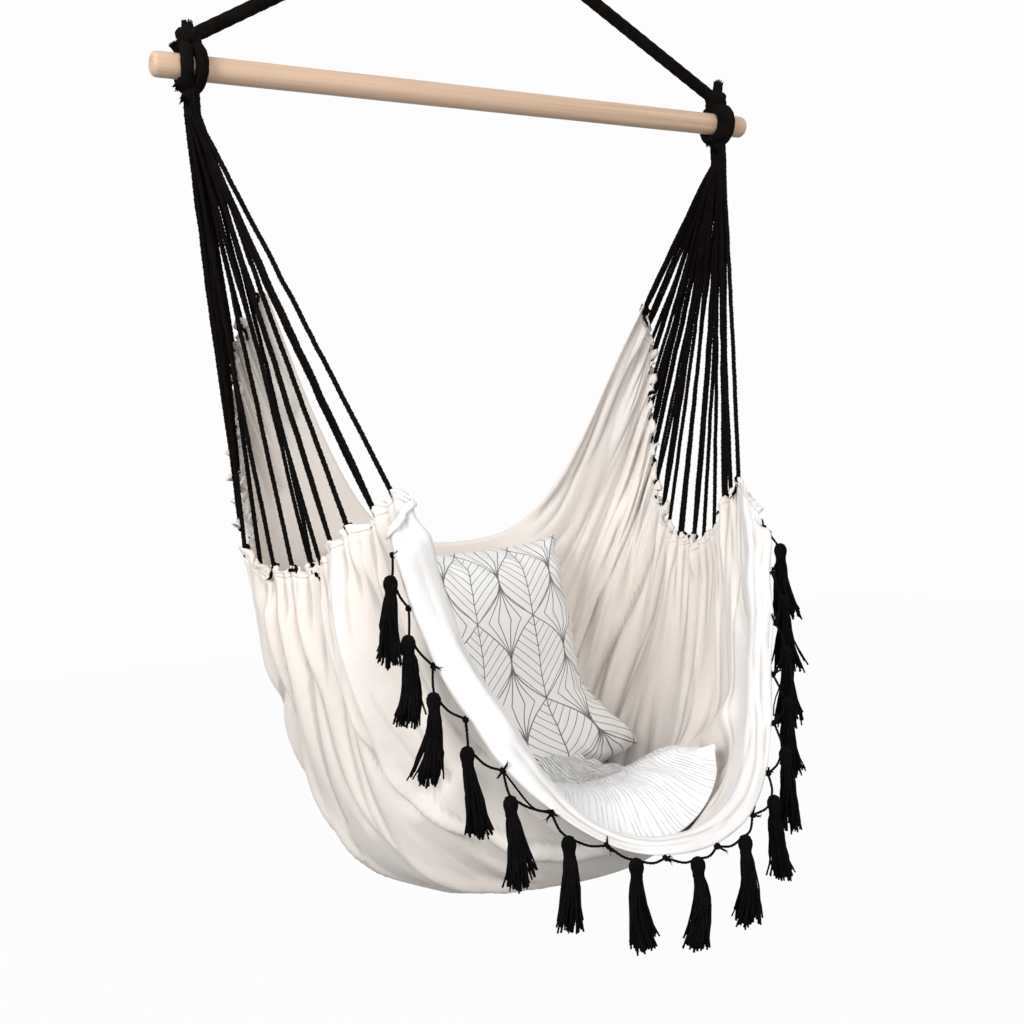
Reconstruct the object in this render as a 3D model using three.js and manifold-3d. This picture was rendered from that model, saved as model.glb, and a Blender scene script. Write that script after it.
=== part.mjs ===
// A hanging hammock chair: a wooden spreader bar on two ropes, a gathered cotton sling on two fans of
// cords, a fringe of tassels along the front edge, a back pillow and a quilted seat pad.
// Millimetres, +Z up, the sitter faces -Y, and the origin is where the hang ring bears on its hook.
import * as THREE from "three";
import { mergeVertices } from "three/addons/utils/BufferGeometryUtils.js";
import Module from "manifold-3d";

const wasm = await Module();
wasm.setup();

// Fits
const clearance = 0.3;
const softClearance = 0.5;

// Hang ring and the rope loop through it
const ringMeanRadius = 24;
const ringWire = 7;
const loopRope = 10;
const loopLegLength = 52;

// Knot where the two ropes meet
const topKnotHeight = 56;
const topKnotRadius = 22;
const topKnotNeckRadius = 15;

// Suspension ropes and spreader bar
const suspensionRope = 18;
const suspensionRise = 280;
const barLength = 950;
const barDiameter = 33;
const barEndRound = 8;

// Hitches round the bar
const hitchInset = 51;
const hitchBand = 16;
const hitchBandPitch = 25;
const hitchLumpRadius = 18;
const hitchTailLength = 34;
const hitchTailRadius = 8.5;
const hitchTailLean = 14;
const bundleRadius = 14.5;
const bundleLength = 45;

// Fans of cords from each hitch to the side of the sling
const cordDiameter = 5;
const cordRows = 2;
const groupCordCounts = [7, 6, 7];
const groupNames = ["back", "middle", "front"];
const groupStep = 8.2;
const hemCordDiameter = 6;

// Sling, measured from the bar's axis
const slingHalfWidth = 357;
const slingDepth = 648;
const slingDrop = 1148;
const slingThickness = 4;
const lipRadius = 26;
const lipTurn = 95;
const foldHeight = 7;
const foldCount = 5;

// Tassels and the cord that carries them
const tasselCount = 15;
const tasselLength = 112;
const tasselHeadRadius = 9;
const tasselNeckRadius = 6.5;
const tasselSkirtRadius = 11;
const tasselCord = 4.4;
const tasselKnotRadius = 4;
const tasselSideDrop = 28;
const tasselMiddleDrop = 8;
const tasselEvenCount = 3.6;

// Back pillow and seat pad
const pillowWidth = 400;
const pillowHeight = 420;
const pillowThickness = 120;
const pillowSeam = 5;
const pillowDrawIn = 14;
const pillowSlump = 70;
const pillowLean = 12;
const pillowOffset = -30;
const pillowFootDrop = 1040;
const pillowStart = 20;
const padThickness = 115;
const padSeam = 16;
const padSideShare = 0.6;

// How finely round and soft shapes are cut into flat faces
const roundSides = 20;
const ropeSides = 10;
const ballSides = 14;
const cordSides = 6;
const hemCordSides = 8;
const knotSides = 6;
const slingColumns = 24;
const slingRows = 18;
const lipRows = 4;
const padColumnsPerCell = 2;
const padRowsPerCell = 2;
const pillowCells = 16;
const settleSteps = 14;

// Shares of the sling's half width, depth and drop at stations from its back edge to its front edge.
// Columns: station, rim half width, rim depth, rim drop, middle depth, middle drop, then how far out
// each section turns from side to floor, as a share of its half width, and how sharply it turns.
const slingShares = [
  [0.0, 0.885, 0.111, 0.238, 0.265, 0.562, 0.5, 2.0],
  [0.12, 0.986, 0.173, 0.296, 0.316, 0.671, 0.52, 2.3],
  [0.27, 0.997, 0.194, 0.392, 0.352, 0.81, 0.55, 2.6],
  [0.4, 1.0, 0.193, 0.488, 0.35, 0.934, 0.59, 2.9],
  [0.5, 0.98, 0.139, 0.553, 0.262, 0.993, 0.66, 2.6],
  [0.6, 0.924, 0.031, 0.571, 0.093, 1.0, 0.8, 1.9],
  [0.72, 0.867, -0.093, 0.564, -0.139, 0.98, 0.92, 1.2],
  [0.84, 0.823, -0.21, 0.537, -0.375, 0.935, 0.97, 0.95],
  [0.93, 0.785, -0.28, 0.514, -0.51, 0.893, 0.96, 0.86],
  [1.0, 0.75, -0.33, 0.499, -0.608, 0.865, 0.95, 0.82],
];
// Outlines as shares of radius and of height from the top: the knot of the ropes, and a tassel's skirt.
const knotOutlineShares = [
  [0.93, 0.72],
  [1.0, 0.5],
  [0.93, 0.26],
];
const knotNeckShares = { foot: [0.7, 0.9], head: [0.85, 0.08] };
const skirtOutlineShares = [
  [1.0, 1.0],
  [0.93, 0.6],
  [0.8, 0.3],
];
const tailTipShare = 0.8;
const bundleMouthShare = 1.1;
const lumpSeatShare = 1 / 3;
const padAcrossShares = [-5 / 12, 5 / 12];
const padAlongShares = [5 / 9, 17 / 18];
const foldFadeShares = [0.3, 0.75];
const tasselBunchShare = 0.38;

// Places that follow from the sizes above
const ringCentreZ = ringWire / 2 - ringMeanRadius;
const ringFootZ = ringCentreZ - ringMeanRadius;
const loopTurnRadius = (ringWire + loopRope) / 2 + clearance;
const loopFootZ = ringFootZ - loopLegLength;
const topKnotZ = loopFootZ - clearance;
const apexZ = topKnotZ - topKnotHeight / 2;
const barZ = apexZ - suspensionRise;
const barRadius = barDiameter / 2;
const hitchX = barLength / 2 - hitchInset;
const bandCentreRadius = barRadius + clearance + hitchBand / 2;
const lumpZ = barZ + barRadius + hitchBand + hitchLumpRadius * lumpSeatShare;
const bundleTopZ = barZ - barRadius - 2 * clearance;
const bundleFootZ = bundleTopZ - bundleLength;

const vec = (x, y, z) => new THREE.Vector3(x, y, z);
const lerp = THREE.MathUtils.lerp;
const radians = THREE.MathUtils.degToRad;
const smooth = THREE.MathUtils.smoothstep;

const materials = {
  rope: new THREE.MeshStandardMaterial({ color: 0x0c0b0b, roughness: 0.95 }),
  wood: new THREE.MeshStandardMaterial({ color: 0xd9b98f, roughness: 0.55 }),
  cotton: new THREE.MeshStandardMaterial({ color: 0xf0e9df, roughness: 0.95 }),
  pad: new THREE.MeshStandardMaterial({ color: 0xf4f3f1, roughness: 0.9 }),
  steel: new THREE.MeshStandardMaterial({ color: 0x8f9092, roughness: 0.35, metalness: 1 }),
};

const chair = new THREE.Group();

// Turns closed three.js geometry into a solid that can be joined or cut.
function solidOf(geometry) {
  const bare = geometry.clone();
  bare.deleteAttribute("normal");
  bare.deleteAttribute("uv");
  const merged = mergeVertices(bare, clearance / 100);
  return new wasm.Manifold(
    new wasm.Mesh({
      numProp: 3,
      vertProperties: merged.attributes.position.array,
      triVerts: new Uint32Array(merged.index.array),
    }),
  );
}

function geometryOf(solid) {
  const { vertProperties, triVerts } = solid.getMesh();
  const geometry = new THREE.BufferGeometry();
  geometry.setAttribute("position", new THREE.BufferAttribute(vertProperties, 3));
  geometry.setIndex(new THREE.BufferAttribute(triVerts, 1));
  geometry.computeVertexNormals();
  return geometry;
}

const joined = (solids) => solids.reduce((whole, solid) => whole.add(solid));

function addPart(name, geometry, material, position = vec(0, 0, 0), turn = 0) {
  const part = new THREE.Mesh(geometry, material);
  part.name = name;
  part.position.copy(position);
  part.rotation.z = turn;
  chair.add(part);
  return part;
}

// A round rod between two points.
function rod(from, to, radius, sides, endRadius = radius) {
  const along = to.clone().sub(from);
  const geometry = new THREE.CylinderGeometry(endRadius, radius, along.length(), sides);
  const turn = new THREE.Quaternion().setFromUnitVectors(vec(0, 1, 0), along.clone().normalize());
  geometry.applyQuaternion(turn);
  const middle = from.clone().add(to).multiplyScalar(1 / 2);
  return geometry.translate(middle.x, middle.y, middle.z);
}

function ball(centre, radius, sides) {
  const geometry = new THREE.SphereGeometry(radius, sides, Math.round(sides / 2));
  return geometry.translate(centre.x, centre.y, centre.z);
}

// A round cord through given points, with a ring square to its run at each of them.
function cordThrough(points, diameter, sides) {
  const last = points.length - 1;
  const positions = [];
  const indices = [];
  let lean = vec(0, 0, 1);
  points.forEach((point, k) => {
    const run = points[Math.min(k + 1, last)].clone().sub(points[Math.max(k - 1, 0)]).normalize();
    if (Math.abs(lean.dot(run)) > 0.99) lean = vec(0, 1, 0);
    lean = lean.addScaledVector(run, -lean.dot(run)).normalize();
    const across = run.clone().cross(lean);
    for (let side = 0; side < sides; side++) {
      const angle = (2 * Math.PI * side) / sides;
      const corner = point.clone().addScaledVector(lean, (diameter / 2) * Math.cos(angle));
      positions.push(...corner.addScaledVector(across, (diameter / 2) * Math.sin(angle)).toArray());
    }
  });
  const at = (k, side) => k * sides + (side % sides);
  for (let side = 0; side < sides; side++) {
    for (let k = 0; k < last; k++) {
      indices.push(at(k, side), at(k, side + 1), at(k + 1, side + 1));
      indices.push(at(k, side), at(k + 1, side + 1), at(k + 1, side));
    }
  }
  for (let side = 1; side < sides - 1; side++) {
    indices.push(at(0, 0), at(0, side + 1), at(0, side));
    indices.push(at(last, 0), at(last, side), at(last, side + 1));
  }
  const geometry = new THREE.BufferGeometry();
  geometry.setAttribute("position", new THREE.Float32BufferAttribute(positions, 3));
  geometry.setIndex(indices);
  geometry.computeVertexNormals();
  return geometry;
}

// A turned shape about the Z axis, from [radius, height] points listed from the bottom up.
function turned(points, sides) {
  const profile = points.map(([radius, height]) => new THREE.Vector2(radius, height));
  return new THREE.LatheGeometry(profile, sides).rotateX(Math.PI / 2);
}

// A closed sheet between two faces given by column and row; columns run to +X, rows towards the front.
function closedSheet(columns, rows, underside, topside) {
  const positions = [];
  const indices = [];
  for (const face of [underside, topside]) {
    for (let row = 0; row <= rows; row++) {
      for (let column = 0; column <= columns; column++) {
        positions.push(...face(column, row).toArray());
      }
    }
  }
  const faceSize = (columns + 1) * (rows + 1);
  const under = (column, row) => row * (columns + 1) + column;
  const top = (column, row) => faceSize + under(column, row);
  const quad = (a, b, c, d) => indices.push(a, b, c, a, c, d);
  for (let row = 0; row < rows; row++) {
    for (let column = 0; column < columns; column++) {
      const [right, next] = [column + 1, row + 1];
      quad(under(column, row), under(right, row), under(right, next), under(column, next));
      quad(top(column, row), top(column, next), top(right, next), top(right, row));
    }
    quad(top(0, row + 1), top(0, row), under(0, row), under(0, row + 1));
    quad(top(columns, row), top(columns, row + 1), under(columns, row + 1), under(columns, row));
  }
  for (let column = 0; column < columns; column++) {
    quad(top(column, 0), top(column + 1, 0), under(column + 1, 0), under(column, 0));
    quad(top(column + 1, rows), top(column, rows), under(column, rows), under(column + 1, rows));
  }
  const geometry = new THREE.BufferGeometry();
  geometry.setAttribute("position", new THREE.Float32BufferAttribute(positions, 3));
  geometry.setIndex(indices);
  geometry.computeVertexNormals();
  return geometry;
}

// One column of the station table, smoothly interpolated at a share of the way along the sling.
function stationValue(along, column) {
  const table = slingShares;
  const last = table.length - 2;
  const found = table.findIndex((row) => row[0] > along) - 1;
  const k = found < 0 ? last : Math.min(found, last);
  const slopeAt = (i) => {
    const [low, high] = [Math.max(i - 1, 0), Math.min(i + 1, table.length - 1)];
    return (table[high][column] - table[low][column]) / (table[high][0] - table[low][0]);
  };
  const span = table[k + 1][0] - table[k][0];
  const t = (along - table[k][0]) / span;
  const [from, to] = [table[k][column], table[k + 1][column]];
  return (
    (2 * t ** 3 - 3 * t ** 2 + 1) * from +
    (t ** 3 - 2 * t ** 2 + t) * span * slopeAt(k) +
    (3 * t ** 2 - 2 * t ** 3) * to +
    (t ** 3 - t ** 2) * span * slopeAt(k + 1)
  );
}

// Half of the sling's cross section at a station, from its middle out to its rim, with run lengths.
const sectionSamples = 48;
const sectionCache = new Map();
function halfSection(along) {
  if (sectionCache.has(along)) return sectionCache.get(along);
  const rim = vec(
    slingHalfWidth * stationValue(along, 1),
    slingDepth * stationValue(along, 2),
    barZ - slingDrop * stationValue(along, 3),
  );
  const dip = vec(0, slingDepth * stationValue(along, 4), barZ - slingDrop * stationValue(along, 5));
  const [turnOut, turnSharpness] = [stationValue(along, 6), stationValue(along, 7)];
  const points = [];
  const lengths = [0];
  for (let k = 0; k <= sectionSamples; k++) {
    const t = k / sectionSamples;
    const [atFloor, atTurn, atRim] = [(1 - t) ** 2, 2 * t * (1 - t) * turnSharpness, t ** 2];
    const out = (atRim + turnOut * atTurn) / (atFloor + atTurn + atRim);
    const down = (atFloor + atTurn) / (atFloor + atTurn + atRim);
    points.push(vec(rim.x * out, lerp(dip.y, rim.y, out ** 2), lerp(rim.z, dip.z, down)));
    if (k > 0) lengths.push(lengths[k - 1] + points[k].distanceTo(points[k - 1]));
  }
  sectionCache.set(along, { points, lengths });
  return sectionCache.get(along);
}

// A point of the smooth sling, across from -1 to 1 by length of cloth and along from 0 to 1.
function smoothSling(across, along) {
  const { points, lengths } = halfSection(along);
  const run = Math.abs(across) * lengths[sectionSamples];
  const found = lengths.findIndex((length) => length >= run);
  const k = Math.max(found, 1);
  const t = (run - lengths[k - 1]) / (lengths[k] - lengths[k - 1]);
  const point = points[k - 1].clone().lerp(points[k], t);
  point.x *= Math.sign(across) || 1;
  return point;
}

const slopeStep = 1 / 200;
function slingFrame(across, along) {
  const [left, right] = [Math.max(across - slopeStep, -1), Math.min(across + slopeStep, 1)];
  const [back, front] = [Math.max(along - slopeStep, 0), Math.min(along + slopeStep, 1)];
  const acrossWay = smoothSling(right, along).sub(smoothSling(left, along)).normalize();
  const alongWay = smoothSling(across, front).sub(smoothSling(across, back)).normalize();
  const outWay = acrossWay.clone().cross(alongWay).normalize();
  return { acrossWay, alongWay, outWay };
}

// Long folds run from the gathered sides down to the seat and die out before it and at the rim.
function foldOffset(across, along) {
  const [gone, full] = foldFadeShares;
  const side = smooth(Math.abs(across), gone, full) * smooth(1 - Math.abs(across), 0, 1 - full);
  return foldHeight * side * Math.sin(2 * Math.PI * foldCount * along);
}

// Rows past the last station turn over into the rolled front lip.
function slingPoint(across, row) {
  const along = Math.min(row / slingRows, 1);
  const frame = slingFrame(across, along);
  const point = smoothSling(across, along).addScaledVector(frame.outWay, foldOffset(across, along));
  if (row <= slingRows) return { point, outWay: frame.outWay, forward: frame.alongWay };
  const turn = (radians(lipTurn) * (row - slingRows)) / lipRows;
  point.addScaledVector(frame.alongWay, lipRadius * Math.sin(turn));
  point.addScaledVector(frame.outWay, lipRadius * (1 - Math.cos(turn)));
  const outWay = frame.outWay.clone().multiplyScalar(Math.cos(turn));
  outWay.addScaledVector(frame.alongWay, -Math.sin(turn));
  const forward = frame.alongWay.clone().multiplyScalar(Math.cos(turn));
  forward.addScaledVector(frame.outWay, Math.sin(turn));
  return { point, outWay, forward };
}

const acrossOf = (column) => (2 * column) / slingColumns - 1;

function offsetSling(column, row, distance) {
  const { point, outWay } = slingPoint(acrossOf(column), row);
  return point.addScaledVector(outWay, distance);
}

function slingGeometry() {
  return closedSheet(
    slingColumns,
    slingRows + lipRows,
    (column, row) => offsetSling(column, row, slingThickness / 2),
    (column, row) => offsetSling(column, row, -slingThickness / 2),
  );
}

// A point off the faceted sling between its grid lines, on the same flat triangles as the sling's own.
function offsetBetweenGridLines(column, row, distance) {
  const [left, back] = [Math.floor(column), Math.floor(row)];
  const [u, v] = [column - left, row - back];
  const corner = offsetSling(left, back, distance);
  if (u === 0 && v === 0) return corner;
  const far = offsetSling(left + 1, back + 1, distance);
  const side = u >= v ? offsetSling(left + 1, back, distance) : offsetSling(left, back + 1, distance);
  const [large, small] = [Math.max(u, v), Math.min(u, v)];
  return corner.multiplyScalar(1 - large).addScaledVector(side, large - small).addScaledVector(far, small);
}

// The crown of a cushion: full in the middle and closing to its seam at the edges, from -1 to 1.
const crownEdgePower = 6;
function crown(a, b) {
  return Math.sqrt((1 - Math.abs(a) ** crownEdgePower) * (1 - Math.abs(b) ** crownEdgePower));
}

function padGeometry() {
  const columnAt = (share) => Math.round(((share + 1) / 2) * slingColumns);
  const [firstColumn, lastColumn] = padAcrossShares.map(columnAt);
  const [firstRow, lastRow] = padAlongShares.map((share) => Math.round(share * slingRows));
  const columns = padColumnsPerCell * (lastColumn - firstColumn);
  const rows = padRowsPerCell * (lastRow - firstRow);
  const seat = slingThickness / 2 + softClearance;
  const at = (column, row, distance) =>
    offsetBetweenGridLines(
      firstColumn + column / padColumnsPerCell,
      firstRow + row / padRowsPerCell,
      -distance,
    );
  const thickness = (column, row) => {
    const [a, b] = [(2 * column) / columns - 1, (2 * row) / rows - 1];
    return padSeam + (padThickness - padSeam) * crown(a, b) * lerp(1, padSideShare, a ** 2);
  };
  return closedSheet(
    columns,
    rows,
    (column, row) => at(column, row, seat),
    (column, row) => at(column, row, seat + thickness(column, row)),
  );
}

// The pillow in its own frame: X across, Z up its height, its back towards +Y.
function pillowGeometry() {
  const face = (side) => (column, row) => {
    const a = (2 * column) / pillowCells - 1;
    const b = 1 - (2 * row) / pillowCells;
    const half = (pillowSeam + (pillowThickness - pillowSeam) * crown(a, b) ** 1.5) / 2;
    const x = a * (pillowWidth / 2 - pillowDrawIn * (1 - b ** 2));
    const z = b * (pillowHeight / 2 - pillowDrawIn * (1 - a ** 2));
    return vec(x, side * half, z + (pillowSlump * a ** 2 * (1 - b)) / 2);
  };
  return closedSheet(pillowCells, pillowCells, face(1), face(-1));
}

// Moves a solid along a direction until it meets the others, then backs it off by the soft clearance.
function settled(solid, way, reach, others) {
  const touches = (distance) => {
    const moved = solid.translate([way.x * distance, way.y * distance, way.z * distance]);
    return others.some((other) => moved.intersect(other).volume() > 0);
  };
  let [free, stuck] = [0, reach];
  for (let step = 0; step < settleSteps; step++) {
    const middle = (free + stuck) / 2;
    if (touches(middle)) stuck = middle;
    else free = middle;
  }
  const distance = free - softClearance;
  return solid.translate([way.x * distance, way.y * distance, way.z * distance]);
}

function addHangingPoint() {
  const ring = new THREE.TorusGeometry(ringMeanRadius, ringWire / 2, 8, 28).rotateX(Math.PI / 2);
  addPart("hang_ring", ring, materials.steel, vec(0, 0, ringCentreZ));
  const route = [vec(0, -loopTurnRadius, -loopLegLength)];
  const bendSteps = 10;
  for (let step = 0; step <= bendSteps; step++) {
    const angle = Math.PI * (1 - step / bendSteps);
    route.push(vec(0, loopTurnRadius * Math.cos(angle), loopTurnRadius * Math.sin(angle)));
  }
  route.push(vec(0, loopTurnRadius, -loopLegLength));
  addPart("hang_loop", cordThrough(route, loopRope, ropeSides), materials.rope, vec(0, 0, ringFootZ));
}

function topKnot(grow) {
  const neck = topKnotNeckRadius + grow;
  const { foot, head } = knotNeckShares;
  const [footZ, headZ] = [topKnotZ - topKnotHeight - grow, topKnotZ + grow];
  const body = knotOutlineShares.map(([wide, down]) => [
    wide * (topKnotRadius + grow),
    topKnotZ - down * topKnotHeight,
  ]);
  const points = [[0, footZ], [foot[0] * neck, footZ], [neck, topKnotZ - foot[1] * topKnotHeight]];
  points.push(...body, [neck, topKnotZ - head[1] * topKnotHeight], [head[0] * neck, headZ], [0, headZ]);
  return turned(points, roundSides);
}

// A hitch: two bands round the bar, the lump and tail above it, and the bundle of cords below it.
function hitch(side, grow) {
  const x = side * hitchX;
  const pieces = [-1, 1].map((way) => {
    const band = new THREE.TorusGeometry(bandCentreRadius, hitchBand / 2 + grow, 10, roundSides);
    return band.rotateY(Math.PI / 2).translate(x + (way * hitchBandPitch) / 2, 0, barZ);
  });
  const lump = vec(x, 0, lumpZ);
  const lean = radians(hitchTailLean);
  const tailEnd = vec(side * Math.sin(lean), 0, Math.cos(lean)).multiplyScalar(hitchTailLength).add(lump);
  pieces.push(ball(lump, hitchLumpRadius + grow, ballSides));
  const tailTip = hitchTailRadius * tailTipShare + grow;
  pieces.push(rod(lump, tailEnd, hitchTailRadius + grow, ropeSides, tailTip));
  pieces.push(bundle(side, grow));
  return joined(pieces.map(solidOf));
}

function bundle(side, grow) {
  const [foot, mouth] = [bundleFootZ - grow, bundleTopZ].map((z) => vec(side * hitchX, 0, z));
  return rod(foot, mouth, bundleRadius + grow, ballSides, bundleRadius * bundleMouthShare + grow);
}

function addSuspension() {
  addPart("top_knot", topKnot(0), materials.rope);
  const barPoints = [[0, -barLength / 2]];
  const endSteps = 3;
  for (let step = 0; step <= endSteps; step++) {
    const angle = ((Math.PI / 2) * step) / endSteps;
    const inset = barEndRound * (1 - Math.sin(angle));
    barPoints.push([barRadius - inset, -barLength / 2 + barEndRound * (1 - Math.cos(angle))]);
  }
  const farPoints = barPoints.map(([radius, height]) => [radius, -height]).reverse();
  const bar = turned([...barPoints, ...farPoints], roundSides).rotateY(Math.PI / 2);
  addPart("spreader_bar", bar, materials.wood, vec(0, 0, barZ));
  const grownKnot = solidOf(topKnot(clearance));
  for (const [name, side] of Object.entries({ left: -1, right: 1 })) {
    const start = vec((side * suspensionRope) / 4, 0, apexZ);
    const end = vec(side * hitchX, 0, lumpZ);
    const rope = solidOf(rod(start, end, suspensionRope / 2, ropeSides));
    const grownHitch = hitch(side, clearance);
    addPart(name + "_rope", geometryOf(rope.subtract(grownKnot).subtract(grownHitch)), materials.rope);
    addPart(name + "_hitch", geometryOf(hitch(side, 0)), materials.rope);
  }
}

// The cord inside the gathered side hem, just clear of the cloth's edge.
function hemRoute(side) {
  const away = hemCordDiameter / 2 + 2 * clearance;
  const points = [];
  for (let row = 0; row <= slingRows; row++) {
    const along = row / slingRows;
    const { acrossWay, alongWay } = slingFrame(side, along);
    const outOfHem = acrossWay.addScaledVector(alongWay, -acrossWay.dot(alongWay)).setLength(away);
    points.push(smoothSling(side, along).addScaledVector(outOfHem, side));
  }
  return points;
}

// A place at a share of the run along a route of straight stretches.
function placeAlong(route, share) {
  const path = new THREE.CurvePath();
  for (let k = 1; k < route.length; k++) path.add(new THREE.LineCurve3(route[k - 1], route[k]));
  return path.getPointAt(share);
}

function addCordFan(name, side) {
  const route = hemRoute(side);
  addPart(name + "_hem_cord", cordThrough(route, hemCordDiameter, hemCordSides), materials.rope);
  const grownHem = solidOf(cordThrough(route, hemCordDiameter + 2 * clearance, hemCordSides));
  const grownBundle = solidOf(bundle(side, clearance));
  const cordCount = groupCordCounts.reduce((sum, count) => sum + count);
  const insetShare = 1 / (2 * cordCount);
  let cord = 0;
  groupCordCounts.forEach((count, group) => {
    const strands = [];
    for (let member = 0; member < count; member++) {
      const along = lerp(insetShare, 1 - insetShare, cord / (cordCount - 1));
      const row = (cord % cordRows) - (cordRows - 1) / 2;
      const groupY = groupStep * (1 - group);
      const memberY = (groupStep - cordDiameter - 2 * clearance) * (1 / 2 - member / (count - 1));
      const start = vec(side * hitchX + (row * cordDiameter) / 2, groupY + memberY, bundleFootZ + clearance);
      strands.push(solidOf(rod(start, placeAlong(route, along), cordDiameter / 2, cordSides)));
      cord += 1;
    }
    const fan = joined(strands).subtract(grownHem).subtract(grownBundle);
    addPart(`${name}_cords_${groupNames[group]}`, geometryOf(fan), materials.rope);
  });
}

// Evenly spaced places along the free edge of the rolled front lip.
function lipPlaces(count) {
  const samples = 400;
  const edge = (k) => slingPoint((2 * k) / samples - 1, slingRows + lipRows).point;
  const lengths = [0];
  for (let k = 1; k <= samples; k++) lengths.push(lengths[k - 1] + edge(k).distanceTo(edge(k - 1)));
  const places = [];
  for (let n = 1; n <= count; n++) {
    const run = (lengths[samples] * n) / (count + 1);
    const k = lengths.findIndex((length) => length >= run);
    const across = (2 * (k - (lengths[k] - run) / (lengths[k] - lengths[k - 1]))) / samples - 1;
    places.push(slingPoint(across, slingRows + lipRows));
  }
  return places;
}

function tasselGeometry() {
  const head = tasselHeadRadius;
  const points = [[0, -tasselLength]];
  points.push(...skirtOutlineShares.map(([wide, down]) => [wide * tasselSkirtRadius, -down * tasselLength]));
  points.push([tasselNeckRadius, -2 * head]);
  const headSteps = 4;
  for (let step = 1; step < headSteps; step++) {
    const angle = Math.PI * (1 - step / headSteps);
    points.push([head * Math.sin(angle), head * (-1 - Math.cos(Math.PI - angle))]);
  }
  points.push([0, 0]);
  return turned(points, ropeSides);
}

// The cord is knotted to the lip and dips to each tassel, which hangs just outside it.
function addTassels() {
  const knots = lipPlaces(tasselCount + 1).map(({ point, forward }) =>
    point.addScaledVector(forward, tasselKnotRadius + clearance),
  );
  const middle = (tasselCount - 1) / 2;
  const outset = tasselHeadRadius + tasselCord / 2 + clearance;
  const route = [knots[0]];
  for (let n = 0; n < tasselCount; n++) {
    const [from, to] = [knots[n], knots[n + 1]];
    const spread = smooth(Math.abs(n - middle), 0, tasselEvenCount);
    const share = 1 / 2 + Math.sign(n - middle) * tasselBunchShare * spread;
    const dip = from.clone().lerp(to, share);
    dip.z -= lerp(tasselMiddleDrop, tasselSideDrop, spread);
    const edgeWay = vec(to.x - from.x, to.y - from.y, 0).normalize();
    const outWay = vec(edgeWay.y, -edgeWay.x, 0);
    route.push(dip, to);
    const hang = dip.clone().addScaledVector(outWay, outset);
    hang.z += tasselHeadRadius;
    const turn = Math.atan2(edgeWay.y, edgeWay.x);
    const label = String(n + 1).padStart(2, "0");
    addPart(`tassel_${label}`, tasselGeometry(), materials.rope, hang, turn);
  }
  const cord = cordThrough(route, tasselCord, cordSides);
  const pieces = [cord, ...knots.map((knot) => ball(knot, tasselKnotRadius, knotSides))];
  addPart("tassel_cord", geometryOf(joined(pieces.map(solidOf))), materials.rope);
}

function addSoftParts() {
  const sling = slingGeometry();
  const pad = padGeometry();
  addPart("sling", sling, materials.cotton);
  addPart("seat_pad", pad, materials.pad);
  const pillow = pillowGeometry().rotateX(radians(-pillowLean));
  pillow.translate(pillowOffset, pillowStart, barZ - pillowFootDrop + pillowHeight / 2);
  const [slingSolid, padSolid] = [sling, pad].map(solidOf);
  const back = settled(solidOf(pillow), vec(0, 1, 0), slingDepth / 2, [slingSolid, padSolid]);
  const seated = settled(back, vec(0, 0, -1), slingDepth / 2, [slingSolid, padSolid]);
  addPart("back_pillow", geometryOf(seated), materials.pad);
}

addHangingPoint();
addSuspension();
addCordFan("left", -1);
addCordFan("right", 1);
addSoftParts();
addTassels();

export default chair;
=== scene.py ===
# A hanging hammock chair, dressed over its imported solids.
# Metres, +Z up, the sitter faces -Y, and the origin is where the hang ring bears on its hook.
import math

import bpy
import numpy as np
from mathutils import Matrix, Vector


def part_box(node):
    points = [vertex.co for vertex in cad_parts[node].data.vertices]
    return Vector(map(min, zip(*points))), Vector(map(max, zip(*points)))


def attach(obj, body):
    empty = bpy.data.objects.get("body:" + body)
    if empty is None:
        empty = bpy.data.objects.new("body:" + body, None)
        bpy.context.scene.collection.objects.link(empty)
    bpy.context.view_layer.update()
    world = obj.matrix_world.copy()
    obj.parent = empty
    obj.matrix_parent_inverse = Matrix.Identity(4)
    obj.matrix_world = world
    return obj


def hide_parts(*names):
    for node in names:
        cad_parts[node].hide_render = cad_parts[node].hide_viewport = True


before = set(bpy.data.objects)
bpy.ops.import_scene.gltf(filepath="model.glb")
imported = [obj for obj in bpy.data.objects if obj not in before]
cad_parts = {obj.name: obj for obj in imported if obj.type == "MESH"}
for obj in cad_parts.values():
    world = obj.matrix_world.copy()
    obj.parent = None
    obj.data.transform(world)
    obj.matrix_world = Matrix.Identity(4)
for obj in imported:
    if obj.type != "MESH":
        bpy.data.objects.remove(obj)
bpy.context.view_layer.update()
scene = bpy.context.scene

# Sizes that the solids were made from
RING_RADIUS, RING_WIRE = 0.024, 0.007
LOOP_ROPE, LOOP_LEG = 0.010, 0.052
ROPE = 0.018
BAR_Z, BAR_RADIUS, BAR_HALF, BAR_ROUND = -0.4048, 0.0165, 0.475, 0.008
KNOT_TOP, KNOT_HEIGHT = -0.0968, 0.056
APEX_Z = KNOT_TOP - KNOT_HEIGHT / 2
HITCH_X, BAND = 0.424, 0.016
LUMP_Z = BAR_Z + BAR_RADIUS + BAND + 0.006
TAIL_LENGTH, TAIL_LEAN = 0.034, math.radians(14)
BUNDLE_TOP, BUNDLE_FOOT = BAR_Z - BAR_RADIUS - 0.0006, BAR_Z - BAR_RADIUS - 0.0456
FAN_CORD, FAN_COUNTS, FAN_NAMES = 0.0072, (7, 6, 7), ("back", "middle", "front")
HEM_CORD, HEM_AWAY = 0.006, 0.0036
LIP_RADIUS, LIP_TURN = 0.026, math.radians(95)
TASSEL_COUNT, TASSEL_LENGTH, TASSEL_CORD = 15, 0.112, 0.0036
SLING_HALF, SLING_DEPTH, SLING_DROP = 0.357, 0.648, 1.148
PAD_SPREAD = (0.24, 0.23)

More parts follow.
